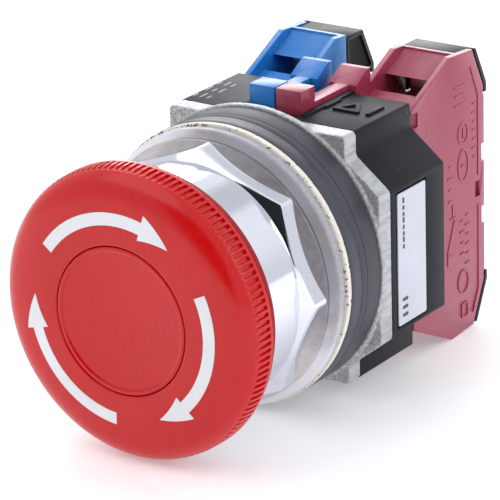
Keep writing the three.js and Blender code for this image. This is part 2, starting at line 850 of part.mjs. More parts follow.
function fixedTerminal(kind, up) {
  const { plateY, thickness, innerEnd, outerEnd, halfWidth, stepY, stepZ, tipHeight } = TERMINAL;
  const rear = plateY + thickness;
  const straight = [
    [plateY, innerEnd],
    [rear, innerEnd],
    [rear, outerEnd],
    [plateY, outerEnd],
  ];
  const stepped = [
    [stepY[0], innerEnd],
    [stepY[1], innerEnd],
    [stepY[1], stepZ[0]],
    [rear, stepZ[0]],
    [rear, outerEnd],
    [plateY, outerEnd],
    [plateY, stepZ[1]],
    [stepY[0], stepZ[1]],
  ];
  const strip = slabX(flip(kind === "no" ? straight : stepped, up), around(BLOCK.x, halfWidth));
  const tipY = kind === "no" ? [plateY - tipHeight, plateY + 0.1] : [stepY[1] - 0.1, stepY[1] + BRIDGE.tip];
  const tipZ = heights([innerEnd, innerEnd + BRIDGE.tipLength], up);
  const tip = box(around(BLOCK.x, BRIDGE.halfWidth), tipY, tipZ);
  const screwHole = disc(CLAMP.holeRadius, [plateY - 1, rear + 1]);
  return cut(join(strip, tip), moved(screwHole, BLOCK.x, 0, BLOCK.z + up * TERMINAL.screwZ));
}

function clampWasher(up) {
  const c = CLAMP;
  const front = TERMINAL.plateY + TERMINAL.thickness + GAP;
  const z = BLOCK.z + up * TERMINAL.screwZ;
  const plate = box(around(BLOCK.x, c.halfWidth), [front, front + c.thickness], around(z, c.halfHeight));
  return cut(plate, moved(disc(c.holeRadius, [front - 1, front + 2]), BLOCK.x, 0, z));
}

function terminalScrew(up) {
  const t = TERMINAL_SCREW;
  const seat = TERMINAL.plateY + TERMINAL.thickness + 2 * GAP + CLAMP.thickness;
  const top = seat + t.headHeight;
  const shape = turned(
    [
      [0, seat - t.length],
      [t.radius, seat - t.length],
      [t.radius, seat],
      [t.headRadius, seat],
      [t.headRadius, top - t.edge],
      [t.headRadius - t.edge, top],
      [0, top],
    ],
    FINE,
  );
  const driven = cut(shape, ...cross(t.headRadius - 2 * t.edge, [top - t.driveDepth, top + 1], 0.9));
  return moved(driven, BLOCK.x, 0, BLOCK.z + up * TERMINAL.screwZ);
}

function contactPlunger() {
  const p = PLUNGER;
  const [stemX, stemZ] = p.stemHalf;
  const [frameX, frameZ] = p.frameHalf;
  const stem = box(around(BLOCK.x, stemX), [p.frontY, p.stemEndY + 0.5], around(BLOCK.z, stemZ));
  const frame = box(around(BLOCK.x, frameX), [p.stemEndY, p.rearY], around(BLOCK.z, frameZ));
  const window = box(around(BLOCK.x, BRIDGE.halfWidth + GAP), p.windowY, around(BLOCK.z, FREE_EDGE));
  return cut(join(stem, frame), window);
}

// Moving contact: a plate through the plunger with a tip at each end, facing forward (nc) or back (no).
function contactBridge(kind) {
  const { halfWidth, halfLength, thickness, tip, tipLength, tipInset } = BRIDGE;
  const front = CONTACT[kind].bridgeY;
  const rear = front + thickness;
  const tipY = kind === "no" ? [rear - tipInset, rear + tip] : [front - tip, front + tipInset];
  const plate = box(around(BLOCK.x, halfWidth), [front, rear], around(BLOCK.z, halfLength));
  const tipZ = [halfLength - tipLength - tipInset, halfLength - tipInset];
  const tips = [1, -1].map((up) => box(around(BLOCK.x, halfWidth - tipInset), tipY, heights(tipZ, up)));
  return join(plate, ...tips);
}

function contactSpring(kind) {
  const spring = coil(CONTACT_SPRING, [CONTACT[kind].springFrontY, CONTACT.springRearY], 8);
  return moved(spring, BLOCK.x, 0, BLOCK.z);
}

function blockSpring() {
  const spring = coil(BLOCK_SPRING, [PLUNGER.rearY + GAP, BLOCK.chamberRearY - GAP], 10);
  return moved(spring, BLOCK.x, 0, BLOCK.z);
}

// ---- assembly ----

const group = new THREE.Group();

function add(name, shape, material) {
  const mesh = new THREE.Mesh(geometryOf(shape), material);
  mesh.name = name;
  group.add(mesh);
}

add("button_head", buttonHead(), RED());
add("head_cap", headCap(), RED());
add("head_screw", headScrew(), STEEL());
add("spindle", spindle(), ZINC());
add("bezel_ring", bezelRing(), CHROME());
add("panel_gasket", panelGasket(), SILICONE());
add("thrust_washer", thrustWasher(), CREAM());
for (const ring of SPACERS) add(ring.name, spacerRing(ring), RUBBER());
add("operator_body", operatorBody(), ZINC());
add("wiper_seal", wiperSeal(), RUBBER());
add("return_spring", returnSpring(), STEEL());
add("pusher", pusher(), BLACK());
add("mechanism_housing", mechanismHousing(), BLACK());
add("rating_label", ratingLabel(), PAPER());
for (const [place, side] of [["left", -1], ["right", 1]]) {
  add(`latch_pin_${place}`, latchPin(side), STEEL());
  add(`latch_spring_${place}`, latchSpring(side), STEEL());
  add(`housing_screw_${place}`, housingScrew(side), STEEL());
}

// The normally open block is on the left, the mirror image of the normally closed one on the right.
for (const [kind, colour, turnedLeft] of [["no", BLUE, true], ["nc", BURGUNDY, false]]) {
  const place = (shape) => (turnedLeft ? shape.mirror([1, 0, 0]) : shape);
  const put = (part, shape, material) => add(`${kind}_${part}`, place(shape), material());
  put("contact_case", contactCase(kind), colour);
  put("plunger", contactPlunger(), colour);
  put("contact_bridge", contactBridge(kind), BRASS);
  put("contact_spring", contactSpring(kind), STEEL);
  put("return_spring", blockSpring(), STEEL);
  for (const [end, up] of [["top", 1], ["bottom", -1]]) {
    put(`terminal_cover_${end}`, terminalCover(up), BLACK);
    put(`terminal_${end}`, fixedTerminal(kind, up), BRASS);
    put(`clamp_washer_${end}`, clampWasher(up), STEEL);
    put(`terminal_screw_${end}`, terminalScrew(up), STEEL);
  }
}

export default group;
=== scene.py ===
import json
import math

import bmesh
import bpy
import numpy as np
from mathutils import Matrix, Vector, noise

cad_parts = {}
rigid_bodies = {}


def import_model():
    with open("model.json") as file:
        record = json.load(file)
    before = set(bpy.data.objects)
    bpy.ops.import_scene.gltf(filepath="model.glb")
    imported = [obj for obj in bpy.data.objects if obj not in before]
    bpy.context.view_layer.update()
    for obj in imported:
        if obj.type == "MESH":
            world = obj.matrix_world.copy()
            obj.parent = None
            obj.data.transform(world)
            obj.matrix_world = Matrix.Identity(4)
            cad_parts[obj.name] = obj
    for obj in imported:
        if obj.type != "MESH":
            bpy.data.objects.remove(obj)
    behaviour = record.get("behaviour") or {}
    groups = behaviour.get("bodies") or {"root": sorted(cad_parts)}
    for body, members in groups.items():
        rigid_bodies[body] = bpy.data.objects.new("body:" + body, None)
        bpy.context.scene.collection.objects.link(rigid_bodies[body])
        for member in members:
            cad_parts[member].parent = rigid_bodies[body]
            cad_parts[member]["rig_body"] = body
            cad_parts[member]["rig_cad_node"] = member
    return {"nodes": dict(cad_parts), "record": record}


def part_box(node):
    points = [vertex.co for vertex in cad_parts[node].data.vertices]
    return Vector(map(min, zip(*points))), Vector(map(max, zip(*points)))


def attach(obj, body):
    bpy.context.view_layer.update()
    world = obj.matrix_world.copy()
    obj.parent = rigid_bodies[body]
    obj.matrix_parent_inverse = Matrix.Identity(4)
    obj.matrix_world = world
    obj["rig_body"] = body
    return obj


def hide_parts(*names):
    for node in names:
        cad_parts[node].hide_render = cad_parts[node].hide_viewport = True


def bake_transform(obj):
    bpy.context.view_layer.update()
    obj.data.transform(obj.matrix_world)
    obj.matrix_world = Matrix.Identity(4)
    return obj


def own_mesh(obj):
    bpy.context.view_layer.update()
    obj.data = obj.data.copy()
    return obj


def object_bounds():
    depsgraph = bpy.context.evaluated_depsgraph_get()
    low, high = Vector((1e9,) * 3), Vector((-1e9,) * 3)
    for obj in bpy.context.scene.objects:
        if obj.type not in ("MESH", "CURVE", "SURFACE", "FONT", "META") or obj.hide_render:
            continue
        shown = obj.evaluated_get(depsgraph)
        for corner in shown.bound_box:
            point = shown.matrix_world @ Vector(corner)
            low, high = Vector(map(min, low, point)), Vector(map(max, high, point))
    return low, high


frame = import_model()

# Emergency stop button: the looks. Lengths are millimetres until make() turns them into metres.
MM = 0.001
TAU = 2 * math.pi
SMOOTH_BELOW = 35  # degrees: an edge that turns more than this is marked sharp
BEVEL_ABOVE = 28  # degrees: an edge that turns more than this is rounded
FLAT_WITHIN = 0.6  # degrees: faces this close to one plane are joined before their edges are rounded
CAD_BOX = [list(corner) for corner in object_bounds()]


def span(node_name):
    """Lowest and highest corner of a CAD node, in millimetres."""
    low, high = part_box(node_name)
    return low / MM, high / MM


# ---- mesh tools ----


def make(name, points, faces, sharp=SMOOTH_BELOW):
    """A mesh object from points in millimetres and faces."""
    mesh = bpy.data.meshes.new(name)
    mesh.from_pydata([tuple(MM * c for c in p) for p in points], [], faces)
    obj = bpy.data.objects.new(name, mesh)
    bpy.context.scene.collection.objects.link(obj)
    clean(obj, sharp)
    return obj


def clean(obj, sharp=SMOOTH_BELOW):
    """Merges doubled points, turns every face outward and marks the sharp edges."""
    work = bmesh.new()
    work.from_mesh(obj.data)
    bmesh.ops.remove_doubles(work, verts=work.verts, dist=1e-7)
    bmesh.ops.dissolve_degenerate(work, edges=work.edges, dist=1e-8)
    bmesh.ops.recalc_face_normals(work, faces=work.faces)
    work.to_mesh(obj.data)
    work.free()
    obj.data.shade_smooth()
    obj.data.set_sharp_from_angle(angle=math.radians(sharp))


def apply_modifiers(obj):
    """Puts the modified shape into the object's own mesh."""
    graph = bpy.context.evaluated_depsgraph_get()
    mesh = bpy.data.meshes.new_from_object(obj.evaluated_get(graph))
    obj.modifiers.clear()
    obj.data = mesh


def discard(obj):
    bpy.data.objects.remove(obj)


def combine(obj, others, operation="UNION"):
    """Joins other closed pieces to obj, or cuts them out of it, and removes them."""
    for other in others:
        step = obj.modifiers.new("combine", "BOOLEAN")
        step.operation = operation
        step.solver = "EXACT"
        step.object = other
        apply_modifiers(obj)
        discard(other)
    return obj


def bevelled(obj, width):
    """Flat faces made whole, then every sharp edge rounded."""
    work = bmesh.new()
    work.from_mesh(obj.data)
    bmesh.ops.remove_doubles(work, verts=work.verts, dist=2e-7)
    flat = math.radians(FLAT_WITHIN)
    bmesh.ops.dissolve_limit(work, angle_limit=flat, verts=work.verts, edges=work.edges)
    work.to_mesh(obj.data)
    work.free()
    step = obj.modifiers.new("edges", "BEVEL")
    step.width = width * MM
    step.segments = 2
    step.limit_method = "ANGLE"
    step.angle_limit = math.radians(BEVEL_ABOVE)
    step.use_clamp_overlap = True
    apply_modifiers(obj)
    clean(obj, 40)
    return obj


def fillet(points, radius, steps):
    """A closed outline with its corners rounded. radius is one number, or one for each point."""
    nearly_straight = 1.54  # half of the angle at a corner, in radians
    most_of_side = 0.48  # share of a side that one corner may take
    count = len(points)
    radii = radius if hasattr(radius, "__len__") else [radius] * count
    rounded = []
    for i, point in enumerate(points):
        corner = np.array(point, float)
        before = np.array(points[i - 1], float) - corner
        after = np.array(points[(i + 1) % count], float) - corner
        reach = min(np.linalg.norm(before), np.linalg.norm(after))
        before /= np.linalg.norm(before)
        after /= np.linalg.norm(after)
        half = math.acos(max(-1.0, min(1.0, before @ after))) / 2
        if radii[i] <= 0 or half > nearly_straight:
            rounded.append(tuple(corner))
            continue
        cut = min(radii[i] / math.tan(half), most_of_side * reach)
        bisector = (before + after) / np.linalg.norm(before + after)
        centre = corner + bisector * cut / math.cos(half)
        start = corner + before * cut - centre
        end = corner + after * cut - centre
        turn = math.pi - 2 * half
        for k in range(steps + 1):
            t = k / steps
            arm = (math.sin((1 - t) * turn) * start + math.sin(t * turn) * end) / math.sin(turn)
            rounded.append(tuple(centre + arm))
    return rounded


def flowing(points, per):
    """A smooth curve through the points (Catmull-Rom), with per steps between neighbours."""
    p = [np.array(q, float) for q in points]
    p = [2 * p[0] - p[1], *p, 2 * p[-1] - p[-2]]
    curve = []
    for a, b, c, d in zip(p, p[1:], p[2:], p[3:]):
        for k in range(per):
            t = k / per
            square = 2 * a - 5 * b + 4 * c - d
            cube = 3 * b - a - 3 * c + d
            curve.append(0.5 * (2 * b + (c - a) * t + square * t * t + cube * t**3))
    return [tuple(q) for q in curve] + [tuple(p[-2])]


def revolve(name, profile, columns, warp=None, sharp=SMOOTH_BELOW):
    """A closed (radius, y) outline turned about the Y axis. columns is a number of even steps, or the
    angles themselves. warp(angles, radii, ys) may return new radii and ys."""
    if isinstance(columns, int):
        columns = np.arange(columns) * TAU / columns
    angles = np.array(columns)[:, None]
    columns = len(angles)
    radii = np.array([p[0] for p in profile])[None, :] + 0 * angles
    ys = np.array([p[1] for p in profile])[None, :] + 0 * angles
    if warp:
        radii, ys = warp(angles, radii, ys)
    points = np.stack([radii * np.cos(angles), ys, radii * np.sin(angles)], -1).reshape(-1, 3)
    rows = len(profile)
    faces = []
    for i in range(columns):
        for j in range(rows):
            k = (j + 1) % rows
            if profile[j][0] == 0 and profile[k][0] == 0:
                continue
            a, b = i * rows, (i + 1) % columns * rows
            faces.append((a + j, a + k, b + k, b + j))
    return make(name, points, faces, sharp)


def prism(name, outline, axis, low, high):
    """A closed outline carried along an axis: (x, z) points for "y", (y, z) for "x", (x, y) for "z"."""
    put = {
        "x": lambda p, h: (h, p[0], p[1]),
        "y": lambda p, h: (p[0], h, p[1]),
        "z": lambda p, h: (p[0], p[1], h),
    }[axis]
    n = len(outline)
    points = [put(p, low) for p in outline] + [put(p, high) for p in outline]
    faces = [tuple(range(n)), tuple(range(2 * n - 1, n - 1, -1))]
    faces += [(i, (i + 1) % n, n + (i + 1) % n, n + i) for i in range(n)]
    return make(name, points, faces)


def block(name, x, y, z):
    """A box, from its (low, high) pair on each axis."""
    return prism(name, [(x[0], y[0]), (x[1], y[0]), (x[1], y[1]), (x[0], y[1])], "z", *z)


def gather(name, pieces):
    """One object from several closed pieces, each left whole."""
    work = bmesh.new()
    for piece in pieces:
        work.from_mesh(piece.data)
        discard(piece)
    mesh = bpy.data.meshes.new(name)
    work.to_mesh(mesh)
    work.free()
    obj = bpy.data.objects.new(name, mesh)
    bpy.context.scene.collection.objects.link(obj)
    mesh.set_sharp_from_angle(angle=math.radians(SMOOTH_BELOW))
    return obj


def band(name, outer, inner, axis, low, high):
    """A closed loop of material between two outlines with as many points each."""
    rim = prism(name, outer, axis, low, high)
    return combine(rim, [prism("hole", inner, axis, low - 1, high + 1)], "DIFFERENCE")


def circle(centre, radius, sides):
    angles = [TAU * k / sides for k in range(sides)]
    return [(centre[0] + radius * math.cos(a), centre[1] + radius * math.sin(a)) for a in angles]


# ---- materials ----


def node(tree, kind, sockets=None, **properties):
    """A shader node. sockets gives its inputs by name or number, as values or as other nodes' outputs."""
    made = tree.nodes.new("ShaderNode" + kind)
    for key, value in properties.items():
        setattr(made, key, value)
    for key, value in (sockets or {}).items():
        if isinstance(value, bpy.types.NodeSocket):
            tree.links.new(value, made.inputs[key])
        else:
            made.inputs[key].default_value = value
    return made


def blank(name):
    """A material with a Principled shader, and its coordinates in millimetres."""
    material = bpy.data.materials.new(name)
    material.use_nodes = True
    tree = material.node_tree
    tree.nodes.clear()
    out = node(tree, "OutputMaterial")
    shader = node(tree, "BsdfPrincipled")
    tree.links.new(shader.outputs["BSDF"], out.inputs["Surface"])
    where = node(tree, "TexCoord").outputs["Object"]
    return material, tree, shader, where


def noise_at(tree, where, per_mm, detail, stretch=(1, 1, 1)):
    """A noise from 0 to 1, with per_mm lumps to the millimetre, times the stretch on each axis."""
    scaled = node(tree, "Mapping", {"Vector": where, "Scale": [s / MM for s in stretch]})
    made = node(tree, "TexNoise", {"Vector": scaled.outputs[0], "Scale": per_mm, "Detail": detail})
    return made.outputs["Fac"]


def computed(tree, operation, *values):
    return node(tree, "Math", dict(enumerate(values)), operation=operation).outputs[0]


def ranged(tree, value, source, target, smooth=False):
    """The value carried from the source range to the target range."""
    kind = "SMOOTHSTEP" if smooth else "LINEAR"
    made = node(tree, "MapRange", {"Value": value}, interpolation_type=kind)
    for key, number in zip((1, 2, 3, 4), (*source, *target)):
        made.inputs[key].default_value = number
    return made.outputs[0]


def mixed(tree, factor, a, b):
    made = node(tree, "Mix", {0: factor}, data_type="RGBA")
    for key, colour in ((6, a), (7, b)):
        if isinstance(colour, bpy.types.NodeSocket):
            tree.links.new(colour, made.inputs[key])
        else:
            made.inputs[key].default_value = (*colour, 1)
    return made.outputs[2]


def between(tree, value, source, a, b):
    """Colour a where the value is below the source range, and b above it, with a smooth change."""
    return mixed(tree, ranged(tree, value, source, (0, 1), True), a, b)


def wire_up(tree, shader, colour, roughness, height, strength, distance):
    """Ties colour, roughness and bump to the shader. The bump's distance is in millimetres."""
    tree.links.new(colour, shader.inputs["Base Color"])
    tree.links.new(roughness, shader.inputs["Roughness"])
    raised = node(tree, "Bump", {"Height": height, "Strength": strength, "Distance": distance * MM})
    tree.links.new(raised.outputs[0], shader.inputs["Normal"])


def surface(
    name, dark, light, roughness, grain, bump, stretch=(1, 1, 1), patch=0.12, specks=None, **principled
):
    """A finish whose colour drifts in patches and in grain, with grain in its roughness and its bump.
    patch and grain are lumps to the millimetre, and bump is (strength, distance). specks is
    (colour, spots to the millimetre, threshold): small spots where a noise passes the threshold."""
    material, tree, shader, where = blank(name)
    patches = noise_at(tree, where, patch, 3.0)
    grains = noise_at(tree, where, grain, 4.0, stretch)
    drift = computed(tree, "ADD", patches, grains)
    colour = between(tree, drift, (0.7, 1.3), dark, light)
    if specks:
        spot_colour, per_mm, threshold = specks
        spots = noise_at(tree, where, per_mm, 1.0)
        colour = between(tree, spots, (threshold, threshold + 0.03), colour, spot_colour)
    wire_up(tree, shader, colour, ranged(tree, drift, (0.6, 1.4), roughness), grains, *bump)
    for key, value in principled.items():
        shader.inputs[key.replace("_", " ").title().replace("Ior", "IOR")].default_value = value
    return material


# Plain finishes: dark and light colour, range of roughness, grain and bump, then what differs.
RED_PLASTIC = surface(
    "red_plastic", (0.555, 0.0045, 0.0055), (0.605, 0.0065, 0.008), (0.18, 0.24), 2.6, (0.06, 0.003),
    stretch=(1, 1, 0.06), patch=0.07, specular_ior_level=0.4, subsurface_weight=0.3,
    subsurface_radius=(1.0, 0.12, 0.08), subsurface_scale=0.0008,
)
# The back of the button's rim, left matt by the mould, with painted shade: its red is darker to stand in
# for the shade behind the rim.
SHADED_MATT_RED = surface(
    "shaded_matt_red", (0.27, 0.002, 0.004), (0.34, 0.003, 0.006), (0.6, 0.75), 3.0, (0.2, 0.006),
    specular_ior_level=0.12,
)
WHITE_PRINT = surface("white_print", (0.74, 0.76, 0.8), (0.84, 0.85, 0.88), (0.3, 0.5), 7, (0.3, 0.004))
CHROME = surface(
    "chrome", (0.72, 0.74, 0.82), (0.77, 0.79, 0.87), (0.04, 0.09), 2.2, (0.02, 0.002), metallic=1.0,
    specks=((0.3, 0.28, 0.28), 1.0, 0.8),
)
BLACK_PLASTIC = surface(
    "black_plastic", (0.007, 0.007, 0.011), (0.015, 0.015, 0.023), (0.44, 0.6), 5, (0.35, 0.012),
    specks=((0.16, 0.16, 0.17), 1.7, 0.78), specular_ior_level=0.22,
)
# The terminal covers, glossier than the housing.
COVER_PLASTIC = surface(
    "cover_plastic", (0.010, 0.010, 0.013), (0.018, 0.018, 0.024), (0.34, 0.46), 3, (0.2, 0.006),
    specks=((0.12, 0.12, 0.13), 1.9, 0.79), specular_ior_level=0.22,
)
# The sunk walls of the terminal covers: painted shade, matt and nearly black.
SUNK_WALL_PAINTED_SHADE = surface(
    "sunk_wall_painted_shade", (0.002, 0.002, 0.002), (0.005, 0.005, 0.006), (0.7, 0.85), 4, (0.3, 0.01),
)
LABEL_PAPER = surface("label_paper", (0.59, 0.61, 0.69), (0.66, 0.68, 0.76), (0.4, 0.55), 4, (0.15, 0.006))
LABEL_INK = surface("label_ink", (0.04, 0.04, 0.05), (0.09, 0.09, 0.1), (0.4, 0.6), 9, (0.2, 0.003))
ETCHED_PRINT = surface(
    "etched_print", (0.25, 0.25, 0.26), (0.42, 0.42, 0.43), (0.5, 0.7), 9, (0.3, 0.004),
)
BLUE_PLASTIC = surface(
    "blue_plastic", (0.009, 0.175, 0.56), (0.014, 0.205, 0.61), (0.25, 0.29), 1.4, (0.04, 0.003),
    patch=0.15,
)
BURGUNDY_PLASTIC = surface(
    "burgundy_plastic", (0.335, 0.034, 0.076), (0.36, 0.041, 0.087), (0.26, 0.3), 1.4, (0.04, 0.003),
    patch=0.15, specular_ior_level=0.62,
)
STEEL = surface("steel", (0.5, 0.5, 0.5), (0.72, 0.72, 0.73), (0.22, 0.4), 3, (0.3, 0.008), metallic=1.0)
BRASS = surface(
    "brass", (0.52, 0.36, 0.12), (0.72, 0.53, 0.22), (0.22, 0.42), 3, (0.3, 0.008), metallic=1.0,
)


def painted_light_share(tree, where):
    """Painted light on the front stack: 0 on the upper right, where it is left in painted shade, 1 away
    from it, where it is painted lit, with soft uneven borders.
    """
    upper_right = (0.77, 0, 0.64)
    along = node(tree, "VectorMath", {0: where, 1: upper_right}, operation="DOT_PRODUCT")
    wander = ranged(tree, noise_at(tree, where, 0.12, 3.0), (0.3, 0.7), (-3 * MM, 3 * MM))
    moved = computed(tree, "ADD", along.outputs["Value"], wander)
    return ranged(tree, moved, (4 * MM, 15 * MM), (1, 0), True)


def satin_metal():
    """The plated ring's run-out, left dull by the cutter, with painted shade on the upper right of the
    front stack and painted light paling it elsewhere.
    """
    material, tree, shader, where = blank("satin_metal")
    grains = noise_at(tree, where, 0.7, 2.5)
    scuffs = noise_at(tree, where, 2.4, 4.0)
    painted_shade_tone = between(tree, grains, (0.3, 0.7), (0.185, 0.173, 0.187), (0.235, 0.225, 0.25))
    painted_lit_tone = between(tree, grains, (0.3, 0.7), (0.54, 0.5, 0.5), (0.62, 0.58, 0.59))
    # painted light and shade: the run-out is dark on the upper right and pale away from it
    colour = mixed(tree, painted_light_share(tree, where), painted_shade_tone, painted_lit_tone)
    wire_up(tree, shader, colour, ranged(tree, grains, (0.35, 0.65), (0.36, 0.46)), scuffs, 0.1, 0.006)
    shader.inputs["Metallic"].default_value = 0.45
    return material


def casting():
    """Die-cast zinc: granular and grey on the faces, bright and scraped on the trimmed edges."""
    material, tree, shader, where = blank("zinc_casting")
    grains = noise_at(tree, where, 2.6, 5.0)
    patches = noise_at(tree, where, 0.35, 3.0)
    scrape = noise_at(tree, where, 1.1, 5.0, (1, 0.25, 1))
    face = between(tree, grains, (0.3, 0.7), (0.33, 0.33, 0.335), (0.62, 0.62, 0.62))
    edge = between(tree, scrape, (0.35, 0.65), (0.4, 0.41, 0.43), (0.54, 0.55, 0.57))
    normal = node(tree, "NewGeometry").outputs["Normal"]
    facing = computed(tree, "ABSOLUTE", node(tree, "SeparateXYZ", {0: normal}).outputs[1])
    colour = between(tree, facing, (0.45, 0.85), edge, face)
    worn = ranged(tree, patches, (0.55, 0.75), (0, 0.35), True)
    colour = mixed(tree, worn, colour, (0.66, 0.67, 0.67))
    wire_up(tree, shader, colour, ranged(tree, grains, (0.3, 0.7), (0.62, 0.38)), grains, 0.6, 0.05)
    shader.inputs["Metallic"].default_value = 0.55
    return material


def ring_rubber():
    """Black rubber with faint lines turned round it."""
    material, tree, shader, where = blank("ring_rubber")
    lines = noise_at(tree, where, 1.0, 3.0, (0.02, 3.5, 0.02))
    patches = noise_at(tree, where, 0.2, 3.0)
    drift = computed(tree, "ADD", patches, lines)
    colour = between(tree, drift, (0.75, 1.25), (0.034, 0.033, 0.048), (0.05, 0.048, 0.067))
    wire_up(tree, shader, colour, ranged(tree, drift, (0.7, 1.3), (0.38, 0.58)), lines, 0.12, 0.006)
    return material


def silicone():
    """Cloudy silicone: darker and pinkish where it is thin over the ring, pale at its rim, and painted
    lighter away from the upper right of the front stack.
    """
    material, tree, shader, where = blank("silicone")
    patches = noise_at(tree, where, 0.14, 3.0)
    grains = noise_at(tree, where, 1.6, 3.0)
    rear = span("panel_gasket")[1].y
    rim_from, rim_to = (rear - 1.5) * MM, (rear - 1.1) * MM
    along = node(tree, "SeparateXYZ", {0: where}).outputs[1]
    thin = between(tree, patches, (0.35, 0.65), (0.25, 0.24, 0.255), (0.29, 0.29, 0.325))
    pale = between(tree, grains, (0.3, 0.7), (0.36, 0.35, 0.4), (0.45, 0.44, 0.49))
    colour = between(tree, along, (rim_from, rim_to), thin, pale)
    # painted light: paler away from the upper right of the front stack, with painted shade left there
    lit = ranged(tree, painted_light_share(tree, where), (0, 1), (0, 0.9))
    colour = mixed(tree, lit, colour, (0.8, 0.81, 0.86))
    wire_up(tree, shader, colour, ranged(tree, grains, (0.3, 0.7), (0.3, 0.42)), grains, 0.15, 0.01)
    shader.inputs["Subsurface Weight"].default_value = 0.3
    shader.inputs["Subsurface Scale"].default_value = 0.001
    return material


def cream_fibre():
    """Cream fibre washer, with dark chips along its rubbed edges."""
    material, tree, shader, where = blank("cream_fibre")
    grains = noise_at(tree, where, 3.0, 5.0)
    patches = noise_at(tree, where, 0.35, 4.0)
    colour = between(tree, grains, (0.3, 0.7), (0.7, 0.65, 0.57), (0.86, 0.82, 0.75))
    aged = ranged(tree, patches, (0.35, 0.65), (0, 0.6), True)
    colour = mixed(tree, aged, colour, (0.84, 0.81, 0.76))
    along = node(tree, "SeparateXYZ", {0: where}).outputs[1]
    low, high = span("thrust_washer")
    middle = (low.y + high.y) / 2
    off = computed(tree, "ABSOLUTE", computed(tree, "SUBTRACT", along, middle * MM))
    at_edge = ranged(tree, off, (0.2 * MM, 0.34 * MM), (0, 0.16), True)
    rubbed = ranged(tree, noise_at(tree, where, 0.16, 2.0), (0.4, 0.62), (0, 0.1), True)
    chips = noise_at(tree, where, 2.4, 3.0)
    for part in (at_edge, rubbed):
        chips = computed(tree, "ADD", chips, part)
    colour = between(tree, chips, (0.81, 0.87), colour, (0.12, 0.09, 0.08))
    wire_up(tree, shader, colour, ranged(tree, grains, (0.3, 0.7), (0.5, 0.75)), grains, 0.5, 0.04)
    return material


FINISHES = {
    "red_plastic": RED_PLASTIC,
    "chrome_plating": CHROME,
    "zinc_casting": casting(),
    "steel": STEEL,
    "brass": BRASS,
    "black_plastic": BLACK_PLASTIC,
    "black_rubber": ring_rubber(),
    "clear_silicone": silicone(),
    "cream_plastic": cream_fibre(),
    "label_film": LABEL_PAPER,
    "blue_plastic": BLUE_PLASTIC,
    "burgundy_plastic": BURGUNDY_PLASTIC,
}
SATIN_METAL = satin_metal()


def dress(obj, material):
    obj.data.materials.clear()
    obj.data.materials.append(material)


def place(obj, body, slot, replaces=(), material=None):
    dress(obj, material or FINISHES[slot])
    if body:
        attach(obj, body)
    if replaces:
        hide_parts(*replaces)
    return obj


# ---- button head ----

# Radius, and depth behind the front, of points on the button's face and edge.
FACE = [
    (10.9, 0.0), (13.5, 0.05), (16.2, 0.28), (17.9, 0.62), (19.1, 1.15), (19.95, 1.9), (20.45, 2.75),
    (20.62, 3.5),
]
ROUND = 240  # sides of a smooth round piece
RIBS = 132
GROOVE_WALLS = (0.2, 0.29)  # where a groove's wall starts and ends, as shares of the pitch
RIB_STEPS = (0.0, *GROOVE_WALLS, 0.5, 1 - GROOVE_WALLS[1], 1 - GROOVE_WALLS[0])
GROOVE_END = 5.05  # depth where the grooves end at the plain land
GROOVE_SINK = 0.38  # how far the grooves' floors lie below the land
CAP_RADIUS = 10.5
PRINT_ROOM = 0.06  # the face lies this far behind the CAD front, so the printed arrows stay inside it


def face_depth(radius):
    """Depth of the button's face at a radius."""
    curve = flowing(FACE, 12)
    return float(np.interp(radius, [p[0] for p in curve], [p[1] for p in curve]))


def button_head():
    """The mushroom: curved face, ribbed edge, tapered back, hollow skirt, and the boss on the spindle."""
    low, high = span("button_head")
    front, rim = low.y + PRINT_ROOM, high.x
    rear = high.y - front
    rim_rear = 8.4
    skirt = 18.0
    ribs_outside = 19.0
    shaded_matt_behind, shaded_matt_outside = 5.6, 18.2
    taper = [
        (rim - 0.02, 5.2), (rim - 0.02, 5.55), (rim - 0.33, 6.3), (19.15, rim_rear), (18.5, rim_rear),
    ]
    outer = [
        *flowing(FACE, 6), (rim - 0.05, 4.2), (rim - 0.03, GROOVE_END - 0.05),
        (rim - 0.02, GROOVE_END + 0.05), *fillet(taper, [0, 0.3, 0.5, 0.25, 0], 4)[:-1],
    ]
    inner = [
        (skirt + 0.3, rim_rear), (skirt, rim_rear - 0.4), (skirt, 3.4), (skirt - 0.6, 2.8), (9.5, 2.8),
        (9.0, 3.3), (9.0, rear - 0.2), (8.8, rear), (4.8, rear), (4.8, 6.2), (2.2, 6.2), (2.2, 4.4),
        (3.8, 4.4), (3.8, 1.5), (CAP_RADIUS, 1.5), (CAP_RADIUS, 0.26), (CAP_RADIUS + 0.08, 0.09),
        (CAP_RADIUS + 0.26, 0.0),
    ]

    def ribbed(angles, radii, ys):
        share = angles * RIBS / TAU % 1
        from_ridge = np.minimum(share, 1 - share)
        wall_start, wall_end = GROOVE_WALLS
        cut = np.clip((from_ridge - wall_start) / (wall_end - wall_start), 0, 1)
        over_floor = np.maximum(radii - (rim - GROOVE_SINK), 0)
        banded = (radii > ribs_outside) & (ys - front < GROOVE_END)
        return np.where(banded, radii - cut * over_floor, radii), ys

    profile = [(r, front + d) for r, d in outer + inner]
    angles = [(k + share) * TAU / RIBS for k in range(RIBS) for share in RIB_STEPS]
    head = revolve("stop_button_head", profile, angles, ribbed, sharp=30)
    place(head, "head", "red_plastic", ["button_head"])
    # painted shade: the back of the rim takes the darker matt red
    head.data.materials.append(SHADED_MATT_RED)
    for face in head.data.polygons:
        middle = face.center / MM
        if middle.y - front > shaded_matt_behind and math.hypot(middle.x, middle.z) > shaded_matt_outside:
            face.material_index = 1


